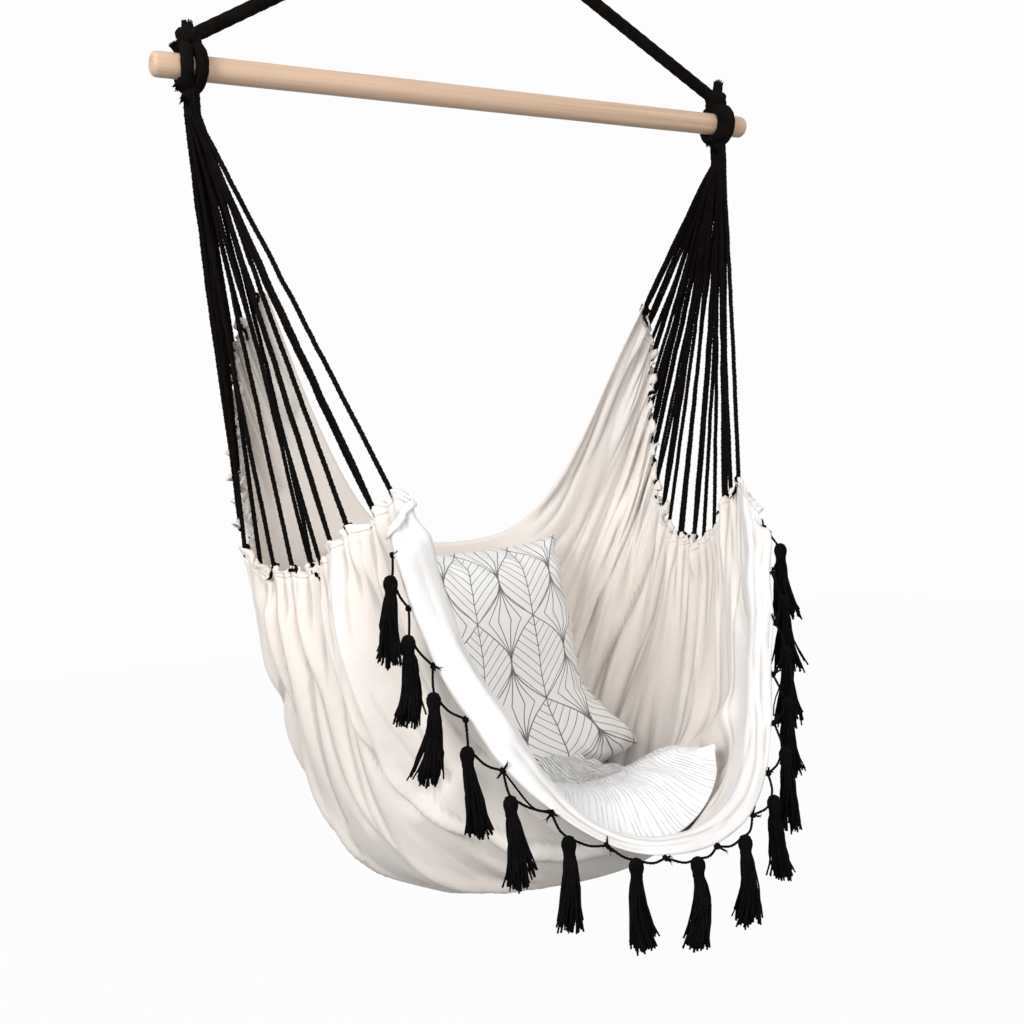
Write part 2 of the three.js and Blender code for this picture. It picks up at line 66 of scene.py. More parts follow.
# Shares of the sling's half width, depth and drop, by station from its back edge to its front edge.
SLING_SHARES = np.array([
    [0.0, 0.885, 0.111, 0.238, 0.265, 0.562, 0.5, 2.0],
    [0.12, 0.986, 0.173, 0.296, 0.316, 0.671, 0.52, 2.3],
    [0.27, 0.997, 0.194, 0.392, 0.352, 0.81, 0.55, 2.6],
    [0.4, 1.0, 0.193, 0.488, 0.35, 0.934, 0.59, 2.9],
    [0.5, 0.98, 0.139, 0.553, 0.262, 0.993, 0.66, 2.6],
    [0.6, 0.924, 0.031, 0.571, 0.093, 1.0, 0.8, 1.9],
    [0.72, 0.867, -0.093, 0.564, -0.139, 0.98, 0.92, 1.2],
    [0.84, 0.823, -0.21, 0.537, -0.375, 0.935, 0.97, 0.95],
    [0.93, 0.785, -0.28, 0.514, -0.51, 0.893, 0.96, 0.86],
    [1.0, 0.75, -0.33, 0.499, -0.608, 0.865, 0.95, 0.82],
])


def place_camera():
    """The photograph's camera, worked out from the bar, the ropes and the tasselled edge."""
    sensor, picture, focal_pixels = 36.0, 1024, 1300
    lens = bpy.data.cameras.new("photo_camera")
    lens.sensor_width, lens.lens = sensor, focal_pixels / picture * sensor
    camera = bpy.data.objects.new("photo_camera", lens)
    right, up = Vector((0.8799, -0.4722, -0.0521)), Vector((0.0531, -0.0112, 0.9985))
    turn = Matrix((right, up, right.cross(up))).transposed().to_4x4()
    camera.matrix_world = Matrix.Translation((-0.883, -1.6764, -0.9762)) @ turn
    scene.collection.objects.link(camera)
    scene.camera = camera


place_camera()


def linked(obj):
    scene.collection.objects.link(obj)
    return obj


def new_piece(name, points, faces, material=None, edges=()):
    mesh = bpy.data.meshes.new(name)
    mesh.from_pydata(np.asarray(points).tolist(), list(edges), [tuple(face) for face in faces])
    mesh.update()
    mesh.polygons.foreach_set("use_smooth", [True] * len(mesh.polygons))
    if material:
        mesh.materials.append(material)
    return linked(bpy.data.objects.new(name, mesh))


def grid_faces(rows, columns, closed=False):
    """Four-sided faces over a grid of points, whose rows can close on themselves."""
    index = np.arange(rows * columns).reshape(rows, columns)
    if closed:
        index = np.hstack([index, index[:, :1]])
    corners = index[:-1, :-1], index[:-1, 1:], index[1:, 1:], index[1:, :-1]
    return np.stack(corners, 2).reshape(-1, 4)


def store_values(piece, name, values):
    """A number for every point of a piece."""
    layer = piece.data.attributes.new(name, "FLOAT", "POINT")
    layer.data.foreach_set("value", np.asarray(values, np.float32))


def store_cloth_places(piece, uv):
    """Where every point lies on the cloth, in metres."""
    layer = piece.data.uv_layers.new(name="cloth")
    corners = np.empty(len(piece.data.loops), np.int32)
    piece.data.loops.foreach_get("vertex_index", corners)
    layer.data.foreach_set("uv", uv.reshape(-1, 2)[corners].ravel())


def bake_modifiers(obj):
    """Turns the evaluated object into a plain mesh at the origin."""
    graph = bpy.context.evaluated_depsgraph_get()
    mesh = bpy.data.meshes.new_from_object(
        obj.evaluated_get(graph), preserve_all_data_layers=True, depsgraph=graph)
    obj.modifiers.clear()
    obj.data = mesh
    return obj


class Value:
    """A number or vector in a node tree, which can be written in sums."""

    def __init__(self, tree, socket):
        self.tree, self.socket = tree, socket

    def to(self, operation, other=0.0):
        return maths(self.tree, operation, self, other)

    def __add__(self, other):
        return self.to("ADD", other)

    def __sub__(self, other):
        return self.to("SUBTRACT", other)

    def __rsub__(self, other):
        return maths(self.tree, "SUBTRACT", other, self)

    def __mul__(self, other):
        return self.to("MULTIPLY", other)

    def __truediv__(self, other):
        return self.to("DIVIDE", other)

    def remap(self, low, high, to_low=0.0, to_high=1.0):
        values = {"Value": self, "From Min": low, "From Max": high,
                  "To Min": to_low, "To Max": to_high}
        return Value(self.tree, add(self.tree, "ShaderNodeMapRange", values).outputs[0])


def join(tree, value, socket):
    tree.links.new(getattr(value, "socket", value), socket)


def add(tree, kind, inputs=None, **settings):
    """A node with its settings, and its inputs set or linked by name or number."""
    node = tree.nodes.new(kind)
    for key, value in settings.items():
        setattr(node, key, value)
    for key, value in (inputs or {}).items():
        socket = node.inputs[key]
        if isinstance(value, (Value, bpy.types.NodeSocket)):
            join(tree, value, socket)
        else:
            socket.default_value = value
    return node


def maths(tree, operation, a, b=0.0):
    return Value(tree, add(tree, "ShaderNodeMath", {0: a, 1: b}, operation=operation).outputs[0])


def vector_maths(tree, operation, inputs):
    return add(tree, "ShaderNodeVectorMath", inputs, operation=operation).outputs[0]


def named_value(tree, name):
    return Value(tree, add(tree, "ShaderNodeAttribute", attribute_name=name).outputs["Fac"])


def smooth(x, low, high):
    t = np.clip((x - low) / (high - low), 0, 1)
    return t * t * (3 - 2 * t)


def cloth_noise(x, y, seed, size=64):
    """Smooth noise between -1 and 1 with a grain of one unit."""
    table = np.random.default_rng(seed).uniform(-1, 1, (size, size))
    left, low = np.floor(x).astype(int), np.floor(y).astype(int)
    u, v = x - left, y - low
    u, v = u * u * (3 - 2 * u), v * v * (3 - 2 * v)
    at = lambda i, j: table[(left + i) % size, (low + j) % size]
    return (at(0, 0) * (1 - u) + at(1, 0) * u) * (1 - v) + (at(0, 1) * (1 - u) + at(1, 1) * u) * v


# Finishes

def finish(name, colour, roughness, sheen=0.0, metallic=0.0):
    material = bpy.data.materials.new(name)
    material.use_nodes = True
    tree = material.node_tree
    shader = tree.nodes["Principled BSDF"]
    shader.inputs["Base Color"].default_value = (*colour, 1)
    shader.inputs["Roughness"].default_value = roughness
    shader.inputs["Sheen Weight"].default_value = sheen
    shader.inputs["Metallic"].default_value = metallic
    return material, tree, shader


def object_places(tree):
    return add(tree, "ShaderNodeTexCoord").outputs["Object"]


def cloth_places(tree):
    """Lengths along the cloth itself, in metres."""
    return add(tree, "ShaderNodeUVMap", uv_map="cloth").outputs[0]


def parts_of(tree, vector):
    split = add(tree, "ShaderNodeSeparateXYZ", {0: vector})
    return Value(tree, split.outputs[0]), Value(tree, split.outputs[1])


def grain(tree, where, scale, detail=3.0, roughness=0.5, stretch=(1, 1, 1)):
    placed = add(tree, "ShaderNodeMapping", {"Vector": where, "Scale": stretch})
    values = {"Vector": placed.outputs[0], "Scale": scale,
              "Detail": detail, "Roughness": roughness}
    return Value(tree, add(tree, "ShaderNodeTexNoise", values).outputs["Fac"])


def blend_colours(tree, share, a, b):
    node = add(tree, "ShaderNodeMix", data_type="RGBA")
    for number, value in ((0, share), (6, a), (7, b)):
        socket = node.inputs[number]
        if isinstance(value, tuple):
            socket.default_value = (*value, 1)
        else:
            join(tree, value, socket)
    return node.outputs[2]


def layered(tree, tone, *coats):
    """A tone with coats over it, each given as its share and its colour."""
    for share, colour in coats:
        tone = blend_colours(tree, share, tone, colour)
    return tone


def scaled(colour, shares):
    return tuple(channel * share for channel, share in zip(colour, shares))


def dressed(shader, tree, tone, *layers):
    """Links the tone, and stacks bump layers given as height, strength and distance."""
    join(tree, tone, shader.inputs["Base Color"])
    normal = None
    for height, strength, distance in layers:
        values = {"Height": height, "Strength": strength, "Distance": distance}
        bump = add(tree, "ShaderNodeBump", values)
        if normal:
            join(tree, normal, bump.inputs["Normal"])
        normal = bump.outputs[0]
    join(tree, normal, shader.inputs["Normal"])


def weave(tree, uv, pitch):
    """Over and under of a plain weave."""
    turns = [(place * (2 * math.pi / pitch)).to("SINE") for place in parts_of(tree, uv)]
    return turns[0] * turns[1]


def cotton_finish(name, colour, pale):
    """Slubbed cotton, with painted shade that greys the lit lip and darkens the bottoms of its
    folds.
    """
    slub_scale, long, thread = 90, 9, 0.0016
    material, tree, shader = finish(name, colour, 0.92, sheen=0.12)
    where, uv, lip = object_places(tree), cloth_places(tree), named_value(tree, "lip")
    mottle = grain(tree, where, 5, 4)
    slub = grain(tree, uv, slub_scale, 2, stretch=(1, long, 1))
    slub_across = grain(tree, uv, slub_scale, 2, stretch=(long, 1, 1))
    # painted shade: pointiness finds the bottoms of the folds, which blend towards a dark copy of
    # the cloth colour
    painted_hollow_shade = Value(tree, add(tree, "ShaderNodeNewGeometry").outputs["Pointiness"])
    deep, shade = scaled(colour, (0.93, 0.9, 0.87)), scaled(colour, (0.55, 0.55, 0.55))
    # painted shade on the lip: the same cloth there blends towards a greyer, darker colour
    tone = layered(tree, colour,
                   (mottle.remap(0.35, 0.7), deep), (slub.remap(0.45, 0.75, 0, 0.7), deep),
                   (lip, pale), (painted_hollow_shade.remap(0.498, 0.472, 0.0, 0.65), shade))
    dressed(shader, tree, tone,
            (grain(tree, where, 16, 5, 0.6), 0.5, 0.006),
            (slub + slub_across, 0.35, 0.0006),
            (weave(tree, uv, thread), 0.25, 0.0003))
    return material


def cord_finish(name, colour, fibre=0.5):
    """Dull twisted fibre, worn paler in places."""
    ply_pitch = 0.0016
    material, tree, shader = finish(name, colour, 0.95, sheen=0.006)
    shader.inputs["Sheen Roughness"].default_value = 0.3
    shader.inputs["Sheen Tint"].default_value = (0.8, 0.62, 0.5, 1)
    shader.inputs["Specular IOR Level"].default_value = 0.06
    where, run = object_places(tree), named_value(tree, "run")
    fuzz = grain(tree, where, 900, 4, 0.65)
    worn = grain(tree, where, 60, 4).remap(0.4, 0.75)
    ply = (run * (2 * math.pi / ply_pitch)).to("SINE")
    tone = layered(tree, colour, (worn, scaled(colour, (2.3, 1.9, 1.7))))
    dressed(shader, tree, tone, (fuzz, fibre, 0.0008), (ply, 0.2, 0.0004))
    return material


def wood_finish():
    material, tree, shader = finish("pale_birch", (0.68, 0.48, 0.34), 0.55)
    where = object_places(tree)
    warp = grain(tree, where, 4, 3, stretch=(0.6, 5, 5))
    lines = grain(tree, where, 26, 6, 0.62, stretch=(0.09, 6, 6))
    pores = grain(tree, where, 240, 3, 0.6, stretch=(0.05, 3, 3))
    tone = layered(tree, (0.66, 0.475, 0.34),
                   (lines.remap(0.38, 0.66), (0.51, 0.35, 0.235)),
                   (warp.remap(0.35, 0.7, 0, 0.6), (0.64, 0.44, 0.32)),
                   (pores.remap(0.6, 0.8, 0, 0.35), (0.42, 0.27, 0.17)))
    join(tree, lines.remap(0.3, 0.7, 0.42, 0.6), shader.inputs["Roughness"])
    dressed(shader, tree, tone, (lines, 0.15, 0.0006), (pores, 0.2, 0.0003))
    return material


def steel_finish():
    material, tree, shader = finish("zinc_plated_steel", (0.56, 0.56, 0.57), 0.32, metallic=1.0)
    where = object_places(tree)
    spangle = grain(tree, where, 260, 5, 0.6)
    tone = layered(tree, (0.62, 0.62, 0.64), (spangle.remap(0.3, 0.7), (0.45, 0.45, 0.46)))
    join(tree, spangle.remap(0.3, 0.7, 0.24, 0.42), shader.inputs["Roughness"])
    dressed(shader, tree, tone, (grain(tree, where, 700, 3), 0.12, 0.0003))
    return material


def knit_finish():
    """White knit. Its ribs leave the crest at the back, bend forwards and fade in creases."""
    rib_pitch, dash_length, crest_place, sway = 0.0092, 0.032, 0.1, 0.042
    material, tree, shader = finish("white_ribbed_knit", (0.84, 0.84, 0.84), 0.9, sheen=0.2)
    where, uv = object_places(tree), cloth_places(tree)
    across, along = parts_of(tree, uv)
    painted_hollow_shade = named_value(tree, "painted_hollow_shade")
    past = ((along + crest_place) / PAD_SPREAD[1]).to("MAXIMUM")
    spent = 1.0 - (past * -5.0).to("EXPONENT")
    bend = past * -0.035 + spent * 0.055
    drift = (grain(tree, uv, 17, 2) - 0.5) * sway
    rib = (across - bend + drift) / rib_pitch
    ridge = (rib * math.pi).to("SINE").to("ABSOLUTE").to("POWER", 0.5)
    stagger = rib.to("FLOOR") * 0.37 + along / dash_length
    stagger = stagger + grain(tree, uv, 40, 1) * 2.0
    dash = stagger.to("FRACT").remap(0.5, 0.66, 1.0, 0.0)
    shown = past.remap(1.3, 0.5, 0.0, 1.0)
    # painted shade in the troughs between the ribs
    rib_trough_shade = ridge.remap(0.68, 0.35, 0, 1) * dash * shown
    height = ridge * dash.remap(0, 1, 0.45, 1.0) * shown.remap(0, 1, 0.3, 1.0)
    loops = grain(tree, where, 420, 3, 0.6)
    # the rib troughs and the gaps between the crest's beads are darkened with painted shade
    tone = layered(tree, (0.87, 0.87, 0.875),
                   (loops.remap(0.4, 0.75, 0, 0.5), (0.76, 0.76, 0.78)),
                   (rib_trough_shade * 0.75, (0.34, 0.35, 0.40)),
                   (painted_hollow_shade, (0.52, 0.52, 0.56)))
    dressed(shader, tree, tone,
            (grain(tree, where, 60, 4), 0.3, 0.003), (height, 0.9, 0.006), (loops, 0.4, 0.0007))
    return material


def printed_finish():
    """White cotton with a line print of half-dropped ogees, every other one with slanting veins."""
    wide, tall, line, vein_pitch, vein_slope, thread = 0.094, 0.27, 0.0011, 0.0165, 1.15, 0.0014
    material, tree, shader = finish("ogee_print_cotton", (0.84, 0.83, 0.82), 0.9, sheen=0.12)
    where, uv = object_places(tree), cloth_places(tree)
    wobble = add(tree, "ShaderNodeTexNoise", {"Vector": uv, "Scale": 14.0, "Detail": 1.0})
    moved = vector_maths(tree, "SUBTRACT", {0: wobble.outputs["Color"], 1: (0.5, 0.5, 0.5)})
    moved = vector_maths(tree, "SCALE", {0: moved, "Scale": 0.008})
    u, v = parts_of(tree, vector_maths(tree, "ADD", {0: uv, 1: moved}))

    def centred(value, period, shift=0.0):
        return (value + (shift + period / 2)).to("FLOORED_MODULO", period) - period / 2

    def stroke(distance, width=line):
        return distance.to("ABSOLUTE").remap(width, width * 0.45)

    swing = ((v * (2 * math.pi / tall)).to("COSINE") * (wide / 2)).to("ABSOLUTE")
    first = centred(u, wide).to("ABSOLUTE")
    second = centred(u, wide, wide / 2).to("ABSOLUTE")
    outline = stroke(first - swing, line * 1.5)
    inside = first.to("LESS_THAN", swing)
    half = wide / 2 - swing
    outside = second.to("LESS_THAN", half)
    slant = v - first * vein_slope
    veins = inside * stroke(centred(slant, vein_pitch)).to("MAXIMUM", stroke(first))
    inner, heart = (stroke(second - half * share) for share in (0.58, 0.22))
    print_share = outline.to("MAXIMUM", veins).to("MAXIMUM", outside * inner.to("MAXIMUM", heart))
    worn = print_share * grain(tree, uv, 400, 2).remap(0.3, 0.6, 0.7, 0.95)
    mottle = grain(tree, where, 6, 3).remap(0.35, 0.7)
    tone = layered(tree, (0.89, 0.88, 0.87),
                   (mottle, (0.82, 0.80, 0.785)), (worn, (0.045, 0.042, 0.05)))
    dressed(shader, tree, tone,
            (grain(tree, where, 22, 4), 0.3, 0.003), (weave(tree, uv, thread), 0.25, 0.0003))
    return material


SLING_COTTON = cotton_finish("undyed_cotton", (0.90, 0.852, 0.81), (0.79, 0.775, 0.765))
BLACK_ROPE = cord_finish("black_cotton_rope", (0.0034, 0.0028, 0.0025))
BLACK_CORD = cord_finish("black_cotton_cord", (0.0034, 0.0028, 0.0026))
BLACK_YARN = cord_finish("black_tassel_yarn", (0.0030, 0.0028, 0.0032), 0.6)
BIRCH = wood_finish()
STEEL = steel_finish()
KNIT = knit_finish()
PRINT = printed_finish()


# Cords and yarns

def cord_tree():
    """Lays a twisted cord along each run of edges. Its strands are cut in as grooves."""
    facets, sway_scale = 4, 22.0
    tree = bpy.data.node_groups.new("laid_cord", "GeometryNodeTree")
    sockets = {"Guides": "Geometry", "Diameter": "Float", "Strands": "Int", "Groove": "Float",
               "Turns per metre": "Float", "Step": "Float", "Sway": "Float", "Seed": "Float",
               "Finish": "Material"}
    for label, kind in sockets.items():
        tree.interface.new_socket(label, in_out="INPUT", socket_type="NodeSocket" + kind)
    tree.interface.new_socket("Cord", in_out="OUTPUT", socket_type="NodeSocketGeometry")
    given = add(tree, "NodeGroupInput").outputs

    def step(kind, inputs, **settings):
        return add(tree, "GeometryNode" + kind, inputs, **settings).outputs[0]

    curves = step("MeshToCurve", {"Mesh": given["Guides"]})
    resampled = step("ResampleCurve", {"Curve": curves, "Length": given["Step"]}, mode="LENGTH")
    along = add(tree, "GeometryNodeSplineParameter").outputs
    place = step("InputPosition", {})
    values = {"Vector": place, "W": given["Seed"], "Scale": sway_scale}
    noise = add(tree, "ShaderNodeTexNoise", values, noise_dimensions="4D")
    centred = vector_maths(tree, "SUBTRACT", {0: noise.outputs["Color"], 1: (0.5, 0.5, 0.5)})
    held = (Value(tree, along["Factor"]) * math.pi).to("SINE")
    shift = vector_maths(tree, "SCALE", {0: centred, "Scale": held * given["Sway"]})
    swayed = step("SetPosition", {"Geometry": resampled, "Offset": shift})
    stored = {"Geometry": swayed, "Name": "run", "Value": along["Length"]}
    run = step("StoreNamedAttribute", stored, domain="POINT")
    turned = Value(tree, along["Length"]) * given["Turns per metre"] * (2 * math.pi)
    tilted = step("SetCurveTilt", {"Curve": run, "Tilt": turned})
    girth = step("InputNamedAttribute", {"Name": "girth"}, data_type="FLOAT")
    corners = Value(tree, given["Strands"]) * float(facets)
    ring = step("CurvePrimitiveCircle", {"Resolution": corners, "Radius": 1.0})
    wave = (Value(tree, step("InputIndex", {})) * (2 * math.pi / facets)).to("COSINE")
    depth = (wave + 1.0) * 0.5 * given["Groove"]
    reach = (1.0 - depth) * (Value(tree, given["Diameter"]) * 0.5)
    lobed = vector_maths(tree, "SCALE", {0: place, "Scale": reach})
    profile = step("SetPosition", {"Geometry": ring, "Position": lobed})
    swept = {"Curve": tilted, "Profile Curve": profile, "Scale": girth, "Fill Caps": True}
    soft = step("SetShadeSmooth", {"Geometry": step("CurveToMesh", swept)})
    real = step("RealizeInstances", {"Geometry": soft})
    finished = step("SetMaterial", {"Geometry": real, "Material": given["Finish"]})
    join(tree, finished, add(tree, "NodeGroupOutput").inputs[0])
    return tree


CORD_TREE = cord_tree()


def lay_cords(name, guides, material, diameter, lay, sway=0.0, seed=1.0):
    """Guides are rows of points, each with a girth for the whole run or for every point.

    A lay is the number of strands, the depth of their groove, the turns per metre and the step.
    """
    points, girths, edges = [], [], []
    for route, girth in guides:
        first = len(points)
        points.extend(np.asarray(route, float).tolist())
        girths.extend(np.broadcast_to(girth, len(route)).tolist())
        edges.extend((k, k + 1) for k in range(first, len(points) - 1))
    obj = new_piece(name, points, [], edges=edges)
    store_values(obj, "girth", girths)
    modifier = obj.modifiers.new("laid_cord", "NODES")
    modifier.node_group = CORD_TREE
    values = {"Diameter": diameter, "Sway": sway, "Seed": seed, "Finish": material}
    values.update(zip(("Strands", "Groove", "Turns per metre", "Step"), lay))
    for socket in CORD_TREE.interface.items_tree:
        if socket.name in values:
            modifier[socket.identifier] = values[socket.name]
    return bake_modifiers(obj)


def loose_ends(name, yarns, diameter, step=0.003):
    return lay_cords(name + "_ends", yarns, BLACK_YARN, diameter, (1, 0.1, 60.0, step))


def joined(name, parts):
    """One piece from several, with their materials kept."""
    first = parts[0]
    chosen = {"selected_editable_objects": parts, "selected_objects": parts}
    with bpy.context.temp_override(active_object=first, **chosen):
        bpy.ops.object.join()
    first.name = first.data.name = name
    return first


def worn_by(obj, body, node):
    """A piece that dresses one node and moves with its body."""
    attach(obj, body)
    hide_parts(node)


def curve_through(points, count):
    """A smooth run through a few points."""
    points = np.asarray(points, float)
    padded = np.vstack([2 * points[0] - points[1], points, 2 * points[-1] - points[-2]])
    spots = np.linspace(0, len(points) - 1, count)
    k = np.minimum(spots.astype(int), len(points) - 2)
    t = (spots - k)[:, None]
    a, b, c, d = (padded[k + i] for i in range(4))
    square, cube = 2 * a - 5 * b + 4 * c - d, 3 * b - a - 3 * c + d
    return 0.5 * (2 * b + (c - a) * t + square * t ** 2 + cube * t ** 3)


def circle(centre, first, second, angles):
    """Points round a centre. The two ways are its half axes."""
    return np.asarray(centre) + np.outer(np.cos(angles), first) + np.outer(np.sin(angles), second)


def coil(foot, radius, rise, turns, count, start=0.0, lean=0.0):
    """Turns of a cord round an upright axis. A lean tilts each turn."""
    t = np.linspace(0, 1, count)
    rounds = circle(foot, (radius, 0, 0), (0, radius, lean), start + 2 * math.pi * turns * t)
    return rounds + np.outer(t, (0, 0, rise))


def full_turn(count):
    return np.linspace(0, 2 * math.pi, count)


def unit(vectors):
    return vectors / np.maximum(np.linalg.norm(vectors, axis=-1, keepdims=True), 1e-12)


def run_along(points):
    """Length from the start to each point of a run, or of several runs."""
    steps = np.linalg.norm(np.diff(points, axis=-2), axis=-1)
    return np.insert(np.cumsum(steps, -1), 0, 0.0, -1)


def read_off(spots, places, table):
    """Points or ways of a table, read at some places between its own."""
    return np.stack([np.interp(spots, places, table[:, axis]) for axis in range(3)], -1)


def frayed(tip, way, count, length, spread, seed, girth=1.0):
    """Loose yarns that leave the cut end of a rope."""
    chance = np.random.default_rng(seed)
    way = np.asarray(way, float) / np.linalg.norm(way)
    taper = np.array([1, 1, 1, 0.95, 0.9, 0.8, 0.5])
    yarns = []
    for _ in range(count):
        side = chance.normal(size=3)
        side -= way * side.dot(way)
        side /= np.linalg.norm(side)
        root = np.asarray(tip) + side * spread * 0.35 * chance.uniform(0, 1)
        reach = length * chance.uniform(0.55, 1.1)
        bend = chance.normal(size=3) * 0.25
        end = root + (way + side * 0.55 * chance.uniform(0.2, 1.2)) * reach
        middle = (root + end) / 2 + bend * reach * 0.4
        route = curve_through([root - way * 0.003, root, middle, end], len(taper))
        yarns.append((route, girth * taper))
    return yarns


SIDES = {"left": -1, "right": 1}


def suspension_ropes():
    lay, laid_wider = (6, 0.06, 9.0, 0.004), 1.08
    for name, side in SIDES.items():
        start = np.array([side * ROPE / 4, 0, APEX_Z])
        end = np.array([side * HITCH_X, 0, LUMP_Z])
        route = np.linspace(start, end, 30)
        rope = lay_cords(name + "_rope_laid", [(route, 1.0)], BLACK_ROPE, ROPE * laid_wider, lay)
        worn_by(rope, "chair", name + "_rope")


suspension_ropes()


# Bar, ring, loop and knots

def turned_piece(name, outline, material, sides=64):
    """A shape turned about X, from [radius, x] points that start and end on the axis."""
    (_, foot), *rings, (_, head) = outline
    angles = np.linspace(0, 2 * math.pi, sides, endpoint=False)
    points = [[x, r * math.cos(t), r * math.sin(t)] for r, x in rings for t in angles]
    foot_point, head_point, last = len(points), len(points) + 1, len(points) - sides
    faces = [*grid_faces(len(rings), sides, closed=True)]
    for k in range(sides):
        n = (k + 1) % sides
        faces += [(foot_point, n, k), (head_point, last + k, last + n)]
    return new_piece(name, points + [[foot, 0, 0], [head, 0, 0]], faces, material)


def spreader_bar():
    """A dowel whose cut ends are rounded over and very slightly dished by sanding."""
    corner = [(BAR_RADIUS - BAR_ROUND * (1 - math.sin(t)), BAR_ROUND * (1 - math.cos(t)))
              for t in np.linspace(0.0, math.pi / 2, 9)]
    dish = [(0, 0.0006), (BAR_RADIUS * 0.2, 0.0005), (BAR_RADIUS * 0.38, 0.0002)]
    near = [(r, h - BAR_HALF) for r, h in dish + corner]
    body = [(BAR_RADIUS * (1 + 0.006 * math.sin(9 * x) * math.sin(23 * x + 1)), x)
            for x in np.linspace(-BAR_HALF + 0.02, BAR_HALF - 0.02, 90)]
    far = [(r, -x) for r, x in near[::-1]]
    bar = turned_piece("birch_dowel", near + body + far, BIRCH)
    bar.data.transform(Matrix.Translation((0, 0, BAR_Z)))
    worn_by(bar, "chair", "spreader_bar")


def welded_ring(centre):
    around, wire, weld_at, weld_wide, weld_thicker = 96, 20, 70, 1.6, 0.16
    k, j = np.meshgrid(np.arange(around + 1), np.arange(wire), indexing="ij")
    t, w = 2 * math.pi * k / around, 2 * math.pi * j / wire
    thick = RING_WIRE / 2 * (1 + weld_thicker * np.exp(-((k - weld_at) / weld_wide) ** 2))
    reach = RING_RADIUS + thick * np.cos(w)
    points = np.stack([reach * np.cos(t), thick * np.sin(w), centre + reach * np.sin(t)], 2)[:-1]
    faces = grid_faces(around + 1, wire, closed=True) % (around * wire)
    ring = new_piece("welded_ring", points.reshape(-1, 3), faces[:, [0, 3, 2, 1]], STEEL)
    worn_by(ring, "hanger", "hang_ring")


def rope_loop(foot):
    """The loop of rope through the ring: an arch over the wire and two legs."""
    turn = (RING_WIRE + LOOP_ROPE) / 2 + 0.0003
    arch = circle((0, 0, foot), (0, turn, 0), (0, 0, turn), np.linspace(math.pi, 0, 14))
    leg = np.outer(np.linspace(0, 1, 8)[1:], (0, 0, -LOOP_LEG))
    route = np.vstack([(arch[0] + leg)[::-1], arch, arch[-1] + leg])
    loop = lay_cords("loop_of_rope", [(route, 1.0)], BLACK_ROPE, LOOP_ROPE, (3, 0.2, 28.0, 0.002))
    worn_by(loop, "loop", "hang_loop")


def wound_knot():
    top = np.array((0, 0, KNOT_TOP))
    lower = coil(top - (0, 0, 0.043), radius=0.0135, rise=0.028, turns=2.3, count=59, start=0.4)
    upper = coil(top - (0, 0, 0.034), radius=0.0145, rise=0.010, turns=1.0, count=26, start=2.2,
                 lean=0.012)
    wraps = [(lower, 1.0), (upper, 0.95)]
    leg_of_loop = [(0, 0.0083, 0), (0, 0.009, -0.016), (0.004, 0.004, -0.04)]
    rope_below = [(0.002, 0, -0.03), (0.0075, -0.002, -0.048), (0.017, 0, -0.0535)]
    core = [(0, 0, -0.008), (0, 0, -0.03), (0, 0, -0.05)]
    for side, places, girth in ((-1, leg_of_loop, 0.62), (-1, rope_below, 0.85),
                                (1, leg_of_loop, 0.62), (1, rope_below, 0.85), (1, core, 1.3)):
        wraps.append((curve_through(top + np.multiply(places, (side, side, 1)), 10), girth))
    knot = lay_cords("wound_knot", wraps, BLACK_ROPE, 0.0155, (3, 0.2, 22.0, 0.0025))
    worn_by(knot, "chair", "top_knot")


# Ends that stand out of each hitch: place from the bar's middle there, then way
TUFTS = {
    -1: ((-0.016, -0.006, -0.026, -0.6, -0.3, -0.7),
         (-0.010, -0.009, -0.042, -0.55, -0.35, -0.75),
         (-0.017, -0.004, 0.022, -0.75, -0.3, 0.5)),
    1: ((-0.016, -0.004, -0.030, -0.75, -0.2, -0.55),
        (-0.012, -0.008, -0.040, -0.7, -0.35, -0.6)),
}


